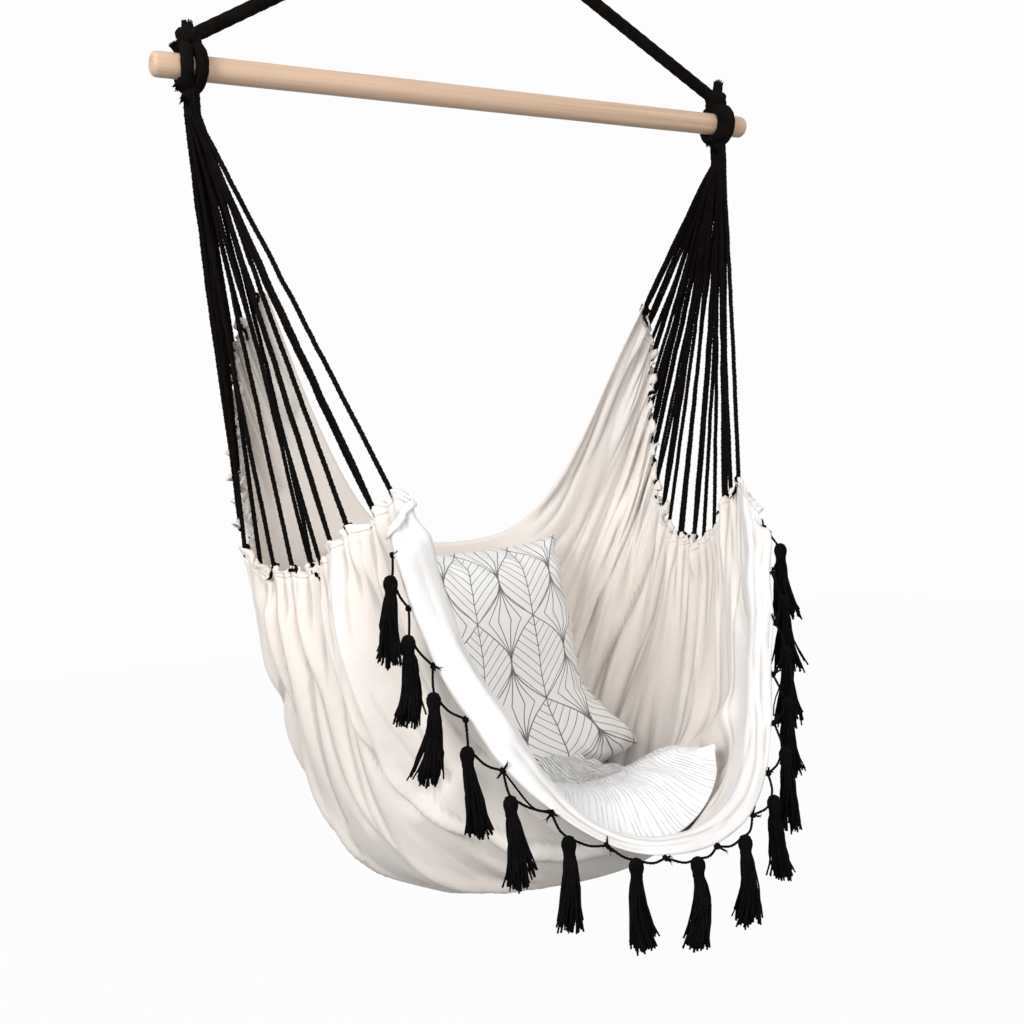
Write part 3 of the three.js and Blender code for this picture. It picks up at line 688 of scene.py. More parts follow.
def hitch_piece(name, side):
    """Two bands round the bar that close on each other, with a lump, a cut end and a bundle."""
    middle, parts = np.array((side * HITCH_X, 0, BAR_Z)), []
    off_bar, under_lump = 0.0003, (0, 0, 0.001)
    half_apart, closing = (0.0072, 0.0028) if side < 0 else (0.0068, 0.0)
    angles = np.radians(np.linspace(-112, 270, 46))
    bands = []
    for way in (-1, 1):
        closed = closing * np.cos(angles) ** 2 * (np.cos(angles) * way < 0)
        bands.append((way * (half_apart + closed), way, 0, 1.08))
    if side > 0:
        crossing = (0.001, -1, 0.002, 0.95)
        bands.append(crossing)
    for off, way, further, girth in bands:
        reach = BAR_RADIUS + BAND / 2 + off_bar + further
        band = circle(middle, (0, way * reach, 0), (0, 0, reach), angles)
        band[:, 0] += off
        parts.append((band, girth))
    lump = np.array([side * HITCH_X, 0, LUMP_Z])
    for lean, start in ((0.75, 0.3), (-0.6, 2.6)):
        tilted = (0.0095, 0, 0.0095 * lean)
        wrap = circle(lump - under_lump, tilted, (0, 0.0105, 0), full_turn(22) * 1.02 + start)
        parts.append((wrap, 0.95))
    parts.append((lump + np.outer(np.linspace(-1, 1, 6), (0.004, 0, 0.006)), 1.4))
    way, reach = np.array([side * math.sin(TAIL_LEAN), 0, math.cos(TAIL_LEAN)]), TAIL_LENGTH - 0.006
    if side < 0:
        way, reach = np.array([-0.05, -0.1, 0.99]), 0.017
    tip = lump + way * reach
    tail = curve_through([lump + (-side * 0.006, 0, 0.0), lump + way * reach * 0.5, tip], 12)
    parts.append((tail, np.linspace(1.05, 1.0, 12)))
    yarns = frayed(tip, way, count=60, length=0.0045, spread=0.020, seed=11 + side)
    for k, tuft in enumerate(TUFTS[side]):
        root, way = middle + tuft[:3], np.array(tuft[3:])
        end = curve_through([root - way * 0.012, root, root + way * 0.004], 8)
        parts.append((end, np.linspace(0.95, 0.72, 8)))
        yarns += frayed(root + way * 0.003, way, count=34, length=0.006, spread=0.014,
                        seed=30 + k + side)
    pieces = [lay_cords(name + "_wraps", parts, BLACK_ROPE, BAND, (6, 0.06, 12.0, 0.0025)),
              loose_ends(name, yarns, 0.0023)]
    worn_by(joined(name + "_laid", pieces), "chair", name)


spreader_bar()
welded_ring(RING_WIRE / 2 - RING_RADIUS)
rope_loop(RING_WIRE / 2 - 2 * RING_RADIUS)
wound_knot()
for side_name, side_sign in SIDES.items():
    hitch_piece(side_name + "_hitch", side_sign)


# The sling's cloth

def station(along, column):
    """A column of the sling's table, read on a smooth curve through its stations."""
    places, values = SLING_SHARES[:, 0], SLING_SHARES[:, column]
    index = np.arange(len(places))
    low, high = np.maximum(index - 1, 0), np.minimum(index + 1, len(places) - 1)
    slopes = (values[high] - values[low]) / (places[high] - places[low])
    k = np.clip(np.searchsorted(places, along, side="right") - 1, 0, len(places) - 2)
    span = places[k + 1] - places[k]
    t = (along - places[k]) / span
    return ((2 * t ** 3 - 3 * t ** 2 + 1) * values[k] + (t ** 3 - 2 * t ** 2 + t) * span * slopes[k]
            + (3 * t ** 2 - 2 * t ** 3) * values[k + 1] + (t ** 3 - t ** 2) * span * slopes[k + 1])


def smooth_sling(across, along):
    """Points of the unfolded sling, a row for each station and a column for each share across."""
    across, along = np.asarray(across, float), np.asarray(along, float)
    rim = np.stack([SLING_HALF * station(along, 1), SLING_DEPTH * station(along, 2),
                    BAR_Z - SLING_DROP * station(along, 3)], 1)
    dip_y, dip_z = SLING_DEPTH * station(along, 4), BAR_Z - SLING_DROP * station(along, 5)
    turn_out, sharpness = station(along, 6)[:, None], station(along, 7)[:, None]
    t = np.linspace(0, 1, 481)[None]
    at_floor, at_turn, at_rim = (1 - t) ** 2, 2 * t * (1 - t) * sharpness, t ** 2
    total = at_floor + at_turn + at_rim
    out, down = (at_rim + turn_out * at_turn) / total, (at_floor + at_turn) / total
    halves = np.stack([rim[:, :1] * out, dip_y[:, None] + (rim[:, 1] - dip_y)[:, None] * out ** 2,
                       rim[:, 2:] + (dip_z - rim[:, 2])[:, None] * down], 2)
    points = np.array([read_off(np.abs(across) * run[-1], run, half)
                       for half, run in zip(halves, run_along(halves))])
    points[:, :, 0] *= np.where(across < 0, -1, 1)
    return points


def cloth_ways(points):
    across, along = unit(np.gradient(points, axis=1)), unit(np.gradient(points, axis=0))
    return across, along, unit(np.cross(across, along))


# Hem: where each cord pulls it, and how far it falls back between two cords
CORD_COUNT = sum(FAN_COUNTS)
INSET = 1 / (2 * CORD_COUNT)
RIM_ROWS = np.linspace(0, 1, 401)
RIM_RUN = run_along(smooth_sling([1.0], RIM_ROWS)[:, 0])
RIM_RUN /= RIM_RUN[-1]
HEM_FALL, LIP_DROP = 0.0065, 0.055
DRAWN = {side: np.random.default_rng(40 + side).uniform(0.5, 1.3, CORD_COUNT - 1)
         for side in (-1, 1)}
DRAWN[1][13], DRAWN[-1][11] = 2.4, 1.8
LOW = {side: np.random.default_rng(50 + side).uniform(0, 0.019, CORD_COUNT) for side in (-1, 1)}
for cord_side in (-1, 1):
    DRAWN[cord_side][15:] *= 0.5
    LOW[cord_side] = np.convolve(LOW[cord_side], (0.25, 0.5, 0.25), "same")
    LOW[cord_side][17:] = 0


def cord_phase(along):
    """The number of the cord at a place along the hem, with shares between two cords."""
    share = np.interp(along, RIM_ROWS, RIM_RUN)
    return (share - INSET) / (1 - 2 * INSET) * (CORD_COUNT - 1)


def phase_row(phase):
    share = np.asarray(phase) / (CORD_COUNT - 1) * (1 - 2 * INSET) + INSET
    return np.interp(share, RIM_RUN, RIM_ROWS)


def hem_fall(side, along):
    phase = cord_phase(along)
    k = np.clip(np.floor(phase).astype(int), 0, CORD_COUNT - 2)
    between = np.clip(phase - k, 0, 1)
    pulled = LOW[side][k] * (1 - smooth(between, 0, 1)) + LOW[side][k + 1] * smooth(between, 0, 1)
    return pulled + HEM_FALL * DRAWN[side][k] * np.sin(math.pi * between) ** 1.25


# Large creases on each side: the cord where each starts, and its slope
CREASES = {
    -1: ((5.8, 0.9), (7.6, 0.6), (9.3, 0.2), (11.1, -0.4), (12.6, 0.5), (14.2, 0.9), (15.4, 0.3),
         (16.8, 0.8)),
    1: ((3.4, 0.8), (5.2, 0.3), (7.1, 0.9), (9.4, 0.2), (11.6, -0.3), (13.7, 0.3), (15.8, 0.4)),
}


def hem_pleats(phase, side):
    """Fine gathers of the cloth on the hem cord, two or three to each cord of the fan."""
    return 0.0023 * np.sin(2 * math.pi * (2.5 * phase + 0.8 * cloth_noise(phase * 0.9, side, 19)))


def ripples(across, along):
    return 0.0022 * cloth_noise(across * 5 + 3, along * 6, 9)


def bell(distance, width):
    return np.exp(-(distance / width) ** 2)


def fold_height(across, along, side):
    """Long folds that leave the gathers, join on the way down and sweep forwards under the seat."""
    s, phase = np.abs(across), cord_phase(along)
    boldness, deepest, valley, roll_end = (
        (1.3, 0.010, 0.24, 0.76) if side < 0 else (1.1, 0.007, 0.34, 0.5))
    at_rim = smooth(s, 0.9, 1.0)
    wander = 0.9 * cloth_noise(s * 2.2, phase * 0.3 + 9 * side, 5)
    broad = cloth_noise(phase * 0.6 + wander + 5 * side, s * 1.1 + 3, 6)
    crests = cloth_noise(phase * 0.95 + 1.3 * wander + 11 * side, s * 1.2, 7)
    creased = 1 - 2 * np.abs(crests) ** 0.8
    fine = 1 - 2 * np.abs(cloth_noise(phase * 1.9 + 2 * wander, s * 2.2, 8))
    height = (0.0035 * np.sin(2 * math.pi * 5 * along)
              * smooth(s, 0.3, 0.75) * smooth(1 - s, 0, 0.25))
    height += (smooth(s, 0.05, 0.3) * (1 - 0.4 * at_rim) * boldness
               * (0.0095 * broad + side * (0.0105 * creased + 0.0038 * fine)))
    for number, (start, slope) in enumerate(CREASES[side]):
        off = phase - start - 2 * slope * (1 - s) - 3.2 * (1 - s) ** 3
        off = off + 0.35 * cloth_noise(s * 4, number, 16)
        depth = side * (1 - at_rim) * (deepest + 0.004 * cloth_noise(s * 3, number + 20, 17))
        height += depth * bell(off, valley) * smooth(s, 0.2, 0.34)
        height -= 0.95 * depth * bell(off - 0.46, 0.34) * smooth(s, 0.03, 0.14)
    height += 0.0050 * np.cos(2 * math.pi * phase) * smooth(s, 0.80, 0.985)
    height += hem_pleats(phase, side) * smooth(s, 0.74, 0.97)
    height += ripples(across, along)
    # the cloth lies against the pad and the pillow, and rises in a soft roll beside the pad
    seat = smooth(along, 0.47, 0.53)
    against = np.maximum(smooth(0.45 - s, 0, 0.03) * seat,
                         smooth(roll_end - s, 0, 0.06) * (1 - seat))
    height = np.where(height < -0.002, (height + 0.002) * (1 - 0.93 * against) - 0.002, height)
    if side > 0:
        beside = bell(s - 0.46, 0.045) * smooth(along, 0.6, 0.74) * (1 - smooth(along, 0.93, 0.99))
        height = height * (1 - 0.7 * beside) - 0.017 * beside
    front, back = smooth(along, 0.93, 1.0), smooth(0.04 - along, 0, 0.04)
    return height * (1 - 0.75 * front) * (1 - 0.6 * back)


CLOTH_ACROSS = np.linspace(-1, 1, 141) * (1.25 - 0.25 * np.linspace(-1, 1, 141) ** 2)
CLOTH_ALONG = np.concatenate([
    np.linspace(0, 0.03, 5), np.linspace(0.03, 0.9, 220)[1:], np.linspace(0.9, 1, 32)[1:]])
LIP_STEPS, CASING_STEPS = 17, 14


def lip_radius(across):
    taper = 0.6 + 0.4 * smooth(1 - np.abs(across), 0.0, 0.12)
    return LIP_RADIUS * taper * (1 + 0.08 * cloth_noise(across * 4.5, 2, 12))


def lip_turn(across):
    """The lip turns further over on the sitter's right."""
    return LIP_TURN + math.radians(75) * smooth(-across, 0.18, 0.5)


def lip_lean(across, along):
    """How far the front leans, so that a lip that turns further still ends in its place."""
    ways = cloth_ways(smooth_sling(across, [0.992, 1.0]))
    forward, outward, turns = ways[1][-1], ways[2][-1], lip_turn(across)[:, None]
    lean = lip_radius(across)[:, None] * (forward * (math.sin(LIP_TURN) - np.sin(turns))
                                          + outward * (np.cos(turns) - math.cos(LIP_TURN)))
    return lean[None] * smooth(along, 0.78, 1.0)[:, None, None]


def lip_rows(edge, across_way, forward, outward):
    """The front edge, rolled outwards and rucked a little, with a stitched line near its end."""
    x, lip = CLOTH_ACROSS, []
    radius, turns = lip_radius(x)[:, None], lip_turn(x)[:, None]
    for k in range(1, LIP_STEPS + 1):
        share = k / LIP_STEPS
        turn = turns * share
        row = edge + forward * radius * np.sin(turn) + outward * radius * (1 - np.cos(turn))
        normal = outward * np.cos(turn) - forward * np.sin(turn)
        ruck = 0.0014 * cloth_noise(x * 20, k * 0.35, 13) + 0.0040 * cloth_noise(x * 8, k * 0.2, 14)
        ruck += 0.0013 * np.sin(k * 1.25 + 4 * cloth_noise(x * 4, 0, 15)) * (1 - abs(2 * share - 1))
        raised = 0.0011 * bell(k - 14.5, 0.9) - ruck * min(1.0, k / 5)
        drop = np.sign(x) * smooth(np.abs(x), 0.8, 1.0) * LIP_DROP * 0.8 * share
        lip.append(row + normal * raised[:, None] - across_way * drop[:, None])
    return lip


def cloth_grid():
    base = smooth_sling(CLOTH_ACROSS, CLOTH_ALONG)
    across_way, along_way, out_way = cloth_ways(base)
    a, v = np.meshgrid(CLOTH_ACROSS, CLOTH_ALONG)
    folds = np.where(a < 0, fold_height(a, v, -1), fold_height(a, v, 1))
    middle = smooth(np.abs(a), 0.0, 0.2)
    folds = folds * middle + (1 - middle) * ripples(a, v)
    points = base + out_way * folds[:, :, None]
    # the pillow's upper corner presses the back out a little
    low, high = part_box("back_pillow")
    pressed = np.linalg.norm(base - (low[0] + 0.05, high[1], high[2] - 0.1), axis=2)
    points += out_way * (0.011 * bell(pressed, 0.08))[:, :, None]
    for side in (-1, 1):
        fall = hem_fall(side, v) + 0.2 * LIP_DROP * smooth(v, 0.975, 1.0)
        points -= across_way * (side * smooth(side * a, 0.86, 1.0) * fall)[:, :, None]
    lip_crease, back_hem = 0.0022 * bell(v - 0.945, 0.005), 0.0012 * bell(v - 0.018, 0.003)
    points += out_way * (lip_crease + back_hem)[:, :, None]
    points += lip_lean(CLOTH_ACROSS, CLOTH_ALONG)
    lip = lip_rows(points[-1], across_way[-1], along_way[-1], out_way[-1])
    points = np.concatenate([points, lip])
    across_way = np.concatenate([across_way, np.repeat(across_way[-1:], LIP_STEPS, 0)])
    rows = np.concatenate([CLOTH_ALONG, 1 + 0.035 * np.arange(1, LIP_STEPS + 1) / LIP_STEPS])
    return points, across_way, rows


def hem_frame(points, across_way, column, side):
    """Middle of the hem cord along one side, with the ways outwards and up."""
    run = unit(np.gradient(points[:, column], axis=0))
    away = across_way[:, column] * side
    away = unit(away - run * np.sum(away * run, axis=1, keepdims=True))
    up = unit(np.cross(run, away))
    return points[:, column] + away * HEM_AWAY - up * 0.0022, away, up


def casing(centre, away, up, rows, side):
    """Columns of cloth round the hem cord. Their short frill rises in a point at every cord."""
    phase, thick = cord_phase(np.minimum(rows, 1.0)), 0.0027
    peak = ((0.5 + 0.5 * np.cos(2 * math.pi * phase)) ** 1.4)[:, None]
    tall = np.random.default_rng(60 + side).uniform(0.003, 0.010, CORD_COUNT + 1)
    rise = 0.003 + peak * tall[np.clip(np.round(phase), 0, CORD_COUNT).astype(int)][:, None]
    apart = 0.0012 + 0.0014 * peak
    waves = 1.2 * hem_pleats(phase, side) + 0.002 * cloth_noise(phase * 2.3 + 7 * side, 0, 18)
    ripple = up * waves[:, None]

    def round_cord(*degrees):
        return [centre - away * thick * math.cos(t) + up * thick * math.sin(t)
                for t in np.radians(degrees)]

    def frill(way, *shares):
        return [centre + away * (thick + rise * share) + ripple * share
                + up * apart * way * (1.15 - 0.45 * share) for share in shares]

    return [*round_cord(25, 60, 95, 130), *frill(1, 0.15, 0.55, 0.9), *frill(-1, 1.0, 0.6, 0.2),
            *round_cord(228, 262, 296, 325)]


def sling_piece():
    points, across_way, rows = cloth_grid()
    uv = np.stack(np.meshgrid(CLOTH_ACROSS * 0.62, rows * 1.12), 2)
    columns, maps, hems = [], [], {}
    for side, column in ((-1, 0), (1, -1)):
        hems[side] = hem_frame(points, across_way, column, side)
        wraps = casing(*hems[side], rows, side)
        tape = [uv[:, column] + (side * 0.004 * k, 0) for k in range(1, CASING_STEPS + 1)]
        columns.append(np.stack(wraps[::side], 1))
        maps.append(np.stack(tape[::side], 1))
    points = np.concatenate([columns[0], points, columns[1]], 1)
    count = points.shape[1]
    faces = grid_faces(len(rows), count)[:, ::-1]
    cloth = new_piece("gathered_sling", points.reshape(-1, 3), faces, SLING_COTTON)
    store_cloth_places(cloth, np.concatenate([maps[0], uv, maps[1]], 1))
    store_values(cloth, "lip", np.repeat(smooth(rows, 0.95, 0.99), count))
    thick = cloth.modifiers.new("cloth_thickness", "SOLIDIFY")
    thick.thickness, thick.offset = 0.0016, 0.0
    bake_modifiers(cloth)
    worn_by(cloth, "chair", "sling")
    return cloth, hems, points[:, CASING_STEPS:-CASING_STEPS]


sling, HEMS, CLOTH = sling_piece()


# Fans of cords

def small_knot(centre, reach, seed, girth=1.0):
    """Two turns of cord drawn tight on each other."""
    chance, turns = np.random.default_rng(seed), []
    for _ in range(2):
        first, second, _ = np.linalg.qr(chance.normal(size=(3, 3)))[0]
        turns.append((circle(centre, reach * first, reach * second, full_turn(13)), girth))
    return turns


def cord_fan(side, numbers, chance, hem, hem_up):
    """Guides of a fan's cords, of their loops and knots on the hem, and of their loose ends."""
    bundle_half, half_apart, loop_radius, knot_reach = 0.0112, 0.0034, 0.0024, 0.0042
    always_knotted, large_knots = (0, 12, 13), (0, 13)
    guides, rings, ends = [], [], []
    for number in numbers:
        foot, lift = (read_off(phase_row(number), CLOTH_ALONG, table) for table in (hem, hem_up))
        lift = unit(lift)
        place = 2 * number / (CORD_COUNT - 1) - 1
        off = ((number % 3) - 1) * FAN_CORD * math.sqrt(1 - 0.75 * place ** 2)
        top = np.array([side * HITCH_X + off, -place * bundle_half, BUNDLE_TOP + 0.001])
        bend = top * (1, 1, 0) + (0, 0, BUNDLE_FOOT)
        stem, t = np.linspace(top, bend, 8)[:-1], np.linspace(0, 1, 40)[:, None]
        bow = chance.normal(size=2) * 0.0016
        line = np.linspace(bend, foot, 40) + np.sin(math.pi * t) * (*bow, 0)
        way = unit(bend - foot)
        if chance.uniform() < 0.65 + 0.15 * side and number < CORD_COUNT - 1:
            apart = unit(np.cross(way, lift)) * half_apart
            parted = np.minimum(1, np.sin(math.pi * np.clip(t * 0.97, 0, 1)) * 2.2)
            for hand in (-1, 1):
                leg = line + hand * apart * (parted * chance.uniform(0.85, 1.15))
                guides.append((np.vstack([stem, leg]), chance.uniform(0.86, 1.02)))
        else:
            guides.append((np.vstack([stem, line]), chance.uniform(0.95, 1.1)))
        rings.append((circle(foot, loop_radius * way, loop_radius * lift, full_turn(15)), 0.5))
        if chance.uniform() < 0.3 or number in always_knotted:
            reach = knot_reach * (1.5 if number in large_knots else 1.0)
            spot = foot + way * chance.uniform(0.004, 0.01) + lift * side * 0.002
            rings += small_knot(spot, reach, seed=200 + number + side, girth=0.75)
            tail_way = unit(-way * chance.uniform(0.5, 1) + lift * chance.normal() * 0.5
                            + chance.normal(size=3) * 0.25 + (0, 0, -0.4))
            tail_end = spot + tail_way * chance.uniform(0.012, 0.024)
            middle = (spot + tail_end) / 2 + chance.normal(size=3) * 0.002
            rings.append((curve_through([spot, middle, tail_end], 7), 0.7))
            ends += frayed(tail_end, tail_way, count=6, length=0.008, spread=0.004,
                           seed=400 + number + side, girth=0.8)
    return guides, rings, ends


def cord_fans():
    for name, side in SIDES.items():
        hem, _, hem_up = (table[:len(CLOTH_ALONG)] for table in HEMS[side])
        guide, pressed_flat, lay = [(hem[::2], 1.0)], 0.62, (3, 0.2, 60.0, 0.004)
        cord = lay_cords(name + "_hem_laid", guide, BLACK_CORD, HEM_CORD * pressed_flat, lay)
        worn_by(cord, "chair", name + "_hem_cord")
        chance = np.random.default_rng(70 + side)
        numbers = iter(range(CORD_COUNT))
        for group, count in zip(FAN_NAMES, FAN_COUNTS):
            own = [next(numbers) for _ in range(count)]
            guides, rings, ends = cord_fan(side, own, chance, hem, hem_up)
            label, lay, loop_lay = name + group, (3, 0.13, 34.0, 0.005), (3, 0.13, 60.0, 0.002)
            parts = [
                lay_cords(label, guides, BLACK_CORD, FAN_CORD, lay, sway=0.0045, seed=3.0 + side),
                lay_cords(label + "_loops", rings, BLACK_CORD, FAN_CORD, loop_lay),
            ]
            if ends:
                parts.append(loose_ends(label, ends, 0.0019))
            fan = joined("%s_fan_%s" % (name, group), parts)
            worn_by(fan, "chair", "%s_cords_%s" % (name, group))


cord_fans()


# Tassels and the cord that carries them

def tassel_top(number):
    low, high = np.array(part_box("tassel_%02d" % number))
    return np.array([*(low + high)[:2] / 2, high[2]])


def lip_knots():
    before, edge = CLOTH[-2:]
    runs = run_along(edge)
    whole, numbers = runs[-1] + 2 * LIP_DROP, np.arange(1, TASSEL_COUNT + 2)
    spots = whole * numbers / (TASSEL_COUNT + 2) - LIP_DROP
    inner, outer = (read_off(spots, runs, row) for row in (before, edge))
    return outer + unit(outer - inner) * 0.003


def tassel_cord():
    knots = lip_knots()
    chance = np.random.default_rng(90)
    guides, turns, ends = [], [], []
    for n, (start, stop) in enumerate(zip(knots, knots[1:])):
        out = unit(np.cross(unit((stop - start) * (1, 1, 0)), (0, 0, 1)))
        dip = tassel_top(n + 1) - out * 0.003 + (0, 0, -0.003)
        for a, b in ((start, dip), (dip, stop)):
            middle = (a + b) / 2 + out * 0.0025 + (0, 0, -0.0035) + chance.normal(size=3) * 0.0012
            guides.append((curve_through([a, middle, b], 14), 1.0))
    slack_from, slack_to = knots[4:6]
    sag = (slack_from + slack_to) / 2 + (0, -0.012, -0.016)
    guides.append((curve_through([slack_from, sag, slack_to + (0, -0.004, 0.004)], 16), 0.85))
    for n, spot in enumerate(knots):
        turns += small_knot(spot, reach=0.0029, seed=300 + n)
        for _ in range(2):
            way = unit(chance.normal(size=3) * 0.8 + (0, -0.5, 0.35))
            tip = spot + way * chance.uniform(0.007, 0.013)
            turns.append((np.linspace(spot, tip, 5), np.linspace(0.95, 0.8, 5)))
            ends += frayed(tip, way, count=4, length=0.004, spread=0.003, seed=500 + n, girth=0.8)
    parts = [lay_cords("tassel_cord_run", guides, BLACK_CORD, TASSEL_CORD, (3, 0.22, 70.0, 0.003)),
             lay_cords("tassel_cord_knots", turns, BLACK_CORD, TASSEL_CORD, (3, 0.2, 90.0, 0.0012)),
             loose_ends("tassel_cord", ends, 0.0012, 0.002)]
    worn_by(joined("knotted_tassel_cord", parts), "chair", "tassel_cord")


def tassel(number):
    """Yarns folded over the cord, bound below the head and cut in a loose skirt."""
    top, chance = tassel_top(number), np.random.default_rng(600 + number)
    folds, strands, groups, bound_at = 22, 100, 9, 0.019
    golden_turn = 2.39996
    head_shape = ((0.0012, -0.001), (0.0056, -0.003), (0.0074, -0.009), (0.0066, -0.0155),
                  (0.005, -0.0205))
    yarn, yarns, folded = 0.0026, [], []
    for k in range(folds):
        turn = 2 * math.pi * (k + 0.3 * chance.uniform()) / folds
        way = np.array([math.cos(turn), math.sin(turn), 0])
        folded.append((curve_through([top + way * r + (0, 0, z) for r, z in head_shape], 12), 1.25))
    lean = np.array([chance.normal() * 0.006, chance.normal() * 0.003 - 0.002, 0])
    bow = np.array([chance.normal() * 0.0035, chance.normal() * 0.002, 0])
    flare = chance.uniform(0.7, 1.25)
    locks = chance.normal(size=(groups, 3)) * 0.0035
    for k in range(strands):
        turn, share = golden_turn * k + chance.uniform(0, 0.5), math.sqrt((k + 0.5) / strands)
        way = np.array([math.cos(turn), math.sin(turn), 0])
        lock = locks[int(turn % (2 * math.pi) / (2 * math.pi) * groups) % groups]
        length = (TASSEL_LENGTH - bound_at) * chance.uniform(0.82, 1.0) * (1 - 0.04 * share)
        wild = chance.uniform() ** 2 * 0.009
        reaches = (0.0052, 0.0078, 0.0098, 0.0110 * flare + 0.002, 0.0135 * flare + wild)
        points = []
        for j, r in enumerate(reaches):
            t = j / 4
            drift = chance.normal(size=3) * 0.0012 * (t > 0)
            drift += (lean + lock) * t ** 1.7 + bow * math.sin(3 * t)
            fall = bound_at + t * (length - abs(lock[2]))
            points.append(top + way * r * share + drift * (1, 1, 0) - (0, 0, fall))
        yarns.append((curve_through(points, 14), np.linspace(1.1, 0.9, 14)))
    bind = coil(top - (0, 0, 0.0165), radius=0.0064, rise=-0.0065, turns=4.5, count=70)
    inside = curve_through([top - (0, 0, depth) for depth in (0.004, 0.0125, 0.022)], 9)
    filling = np.array([0.7, 0.95, 1.1, 1.15, 1.15, 1.1, 1.0, 0.9, 0.8])
    name = "tassel_%02d" % number
    parts = [
        lay_cords(name + "_skirt", yarns, BLACK_YARN, yarn, (1, 0.0, 20.0, 0.013),
                  sway=0.0014, seed=number),
        lay_cords(name + "_head", folded, BLACK_YARN, yarn, (1, 0.0, 20.0, 0.004), seed=number),
        lay_cords(name + "_wrap", [(bind, 1.0)], BLACK_CORD, 0.0019, (2, 0.2, 90.0, 0.002)),
        lay_cords(name + "_inside", [(inside, filling)], BLACK_YARN, 0.0105, (3, 0.0, 20.0, 0.003)),
    ]
    worn_by(joined("yarn_" + name, parts), name, name)


tassel_cord()
for tassel_number in range(1, TASSEL_COUNT + 1):
    tassel(tassel_number)


# Padded pieces

def closed_pad(name, under, top, uv, material):
    """A closed form from an under face and a top face on the same grid."""
    rows, columns = top.shape[:2]
    size = rows * columns
    index = np.arange(size).reshape(rows, columns)
    lower = grid_faces(rows, columns)
    rim = np.concatenate([index[0, :-1], index[:-1, -1], index[-1, :0:-1], index[:0:-1, 0]])
    beside = np.roll(rim, -1)
    walls = np.stack([rim + size, beside + size, beside, rim], 1)
    faces = np.concatenate([lower[:, ::-1] + size, lower, walls])
    points = np.concatenate([under.reshape(-1, 3), top.reshape(-1, 3)])
    piece = new_piece(name, points, faces, material)
    places = np.concatenate([uv.reshape(-1, 2)] * 2)
    store_cloth_places(piece, places)
    store_values(piece, "place_across", places[:, 0])
    store_values(piece, "place_along", places[:, 1])
    store_values(piece, "upper", np.repeat([0.0, 1.0], size))
    return piece


def mesh_values(items, name, width=1, kind=np.float32):
    values = np.empty(len(items) * width, kind)
    items.foreach_get(name, values)
    return values.reshape(-1, width) if width > 1 else values


def puff(piece, pressure, most, growth=0.0, free=1.0):
    """Swells a padded piece by cloth simulation and keeps every point within a set distance."""
    frames = 20
    start = mesh_values(piece.data.vertices, "co", 3, float)
    modifier = piece.modifiers.new("puffed", "CLOTH")
    cloth = modifier.settings
    cloth.quality, cloth.mass = 6, 0.3
    cloth.tension_stiffness = cloth.compression_stiffness = 18
    cloth.bending_stiffness = 0.6
    cloth.shrink_min = -growth
    cloth.use_pressure, cloth.uniform_pressure_force = True, pressure
    cloth.effector_weights.gravity = 0
    modifier.collision_settings.use_collision = False
    modifier.point_cache.frame_start, modifier.point_cache.frame_end = 1, frames
    for number in range(1, frames + 1):
        scene.frame_set(number)
    swollen = piece.evaluated_get(bpy.context.evaluated_depsgraph_get()).data
    shift = mesh_values(swollen.vertices, "co", 3, float) - start
    piece.modifiers.clear()
    far = np.linalg.norm(shift, axis=1, keepdims=True)
    shift *= np.minimum(1, most / np.maximum(far, 1e-9)) * np.reshape(free, (-1, 1))
    piece.data.vertices.foreach_set("co", (start + shift).ravel())
    piece.data.update()
    scene.frame_set(1)


def subdivided(piece, levels):
    finer = piece.modifiers.new("finer", "SUBSURF")
    finer.levels = finer.render_levels = levels
    return bake_modifiers(piece)


def crown(a, b):
    """Fullness of a cushion, one in the middle and none at its edges."""
    power = 6
    return np.sqrt(np.clip((1 - np.abs(a) ** power) * (1 - np.abs(b) ** power), 0, 1))


def back_pillow():
    cells, lean = 64, math.radians(12)
    wide, tall, thick, seam, draw_in, slump = 0.400, 0.420, 0.120, 0.004, 0.014, 0.070
    a, b = np.meshgrid(np.linspace(-1, 1, cells + 1), np.linspace(1, -1, cells + 1))
    half = (seam + (thick * 0.9 - seam) * crown(a, b) ** 1.3) / 2
    x = a * (wide / 2 - draw_in * (1 - b ** 2))
    x = x + smooth(a, 0, 1) * (0.018 * smooth(1 - b, 0.1, 1.0) + 0.066 * smooth(-b, 0.3, 1.0))
    z = b * (tall / 2 - draw_in * (1 - a ** 2)) + slump * a ** 2 * (1 - b) / 2
    z = z - 0.014 * smooth(a, 0.3, 1.0) * smooth(-b, 0.3, 1.0)
    pucker = 0.0024 * np.sin(26 * (a + b) + 14 * (a - b))
    pucker = pucker + 0.004 * cloth_noise(a * 9 + b * 5, b * 9 - a * 5, 31)
    pucker = smooth(np.maximum(np.abs(a), np.abs(b)), 0.6, 0.95) * pucker
    faces = []
    for way in (1, -1):
        y = way * half + pucker * way
        leaned = y * math.cos(lean) + z * math.sin(lean), z * math.cos(lean) - y * math.sin(lean)
        faces.append(np.stack([x, *leaned], 2))
    low, high = np.array(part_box("back_pillow"))
    everything = np.concatenate([face.reshape(-1, 3) for face in faces])
    foot, head = everything.min(0), everything.max(0)
    shift = (low + high) / 2 - (foot + head) / 2
    shift[[0, 2]] = low[0] - foot[0], low[2] + 0.002 - foot[2]
    uv = np.stack([a * wide / 2, b * tall / 2], 2)
    pillow = closed_pad("printed_pillow", faces[0] + shift, faces[1] + shift, uv, PRINT)
    puff(pillow, pressure=4.0, most=0.012, growth=0.03)
    subdivided(pillow, 1)
    worn_by(pillow, "pillow", "back_pillow")


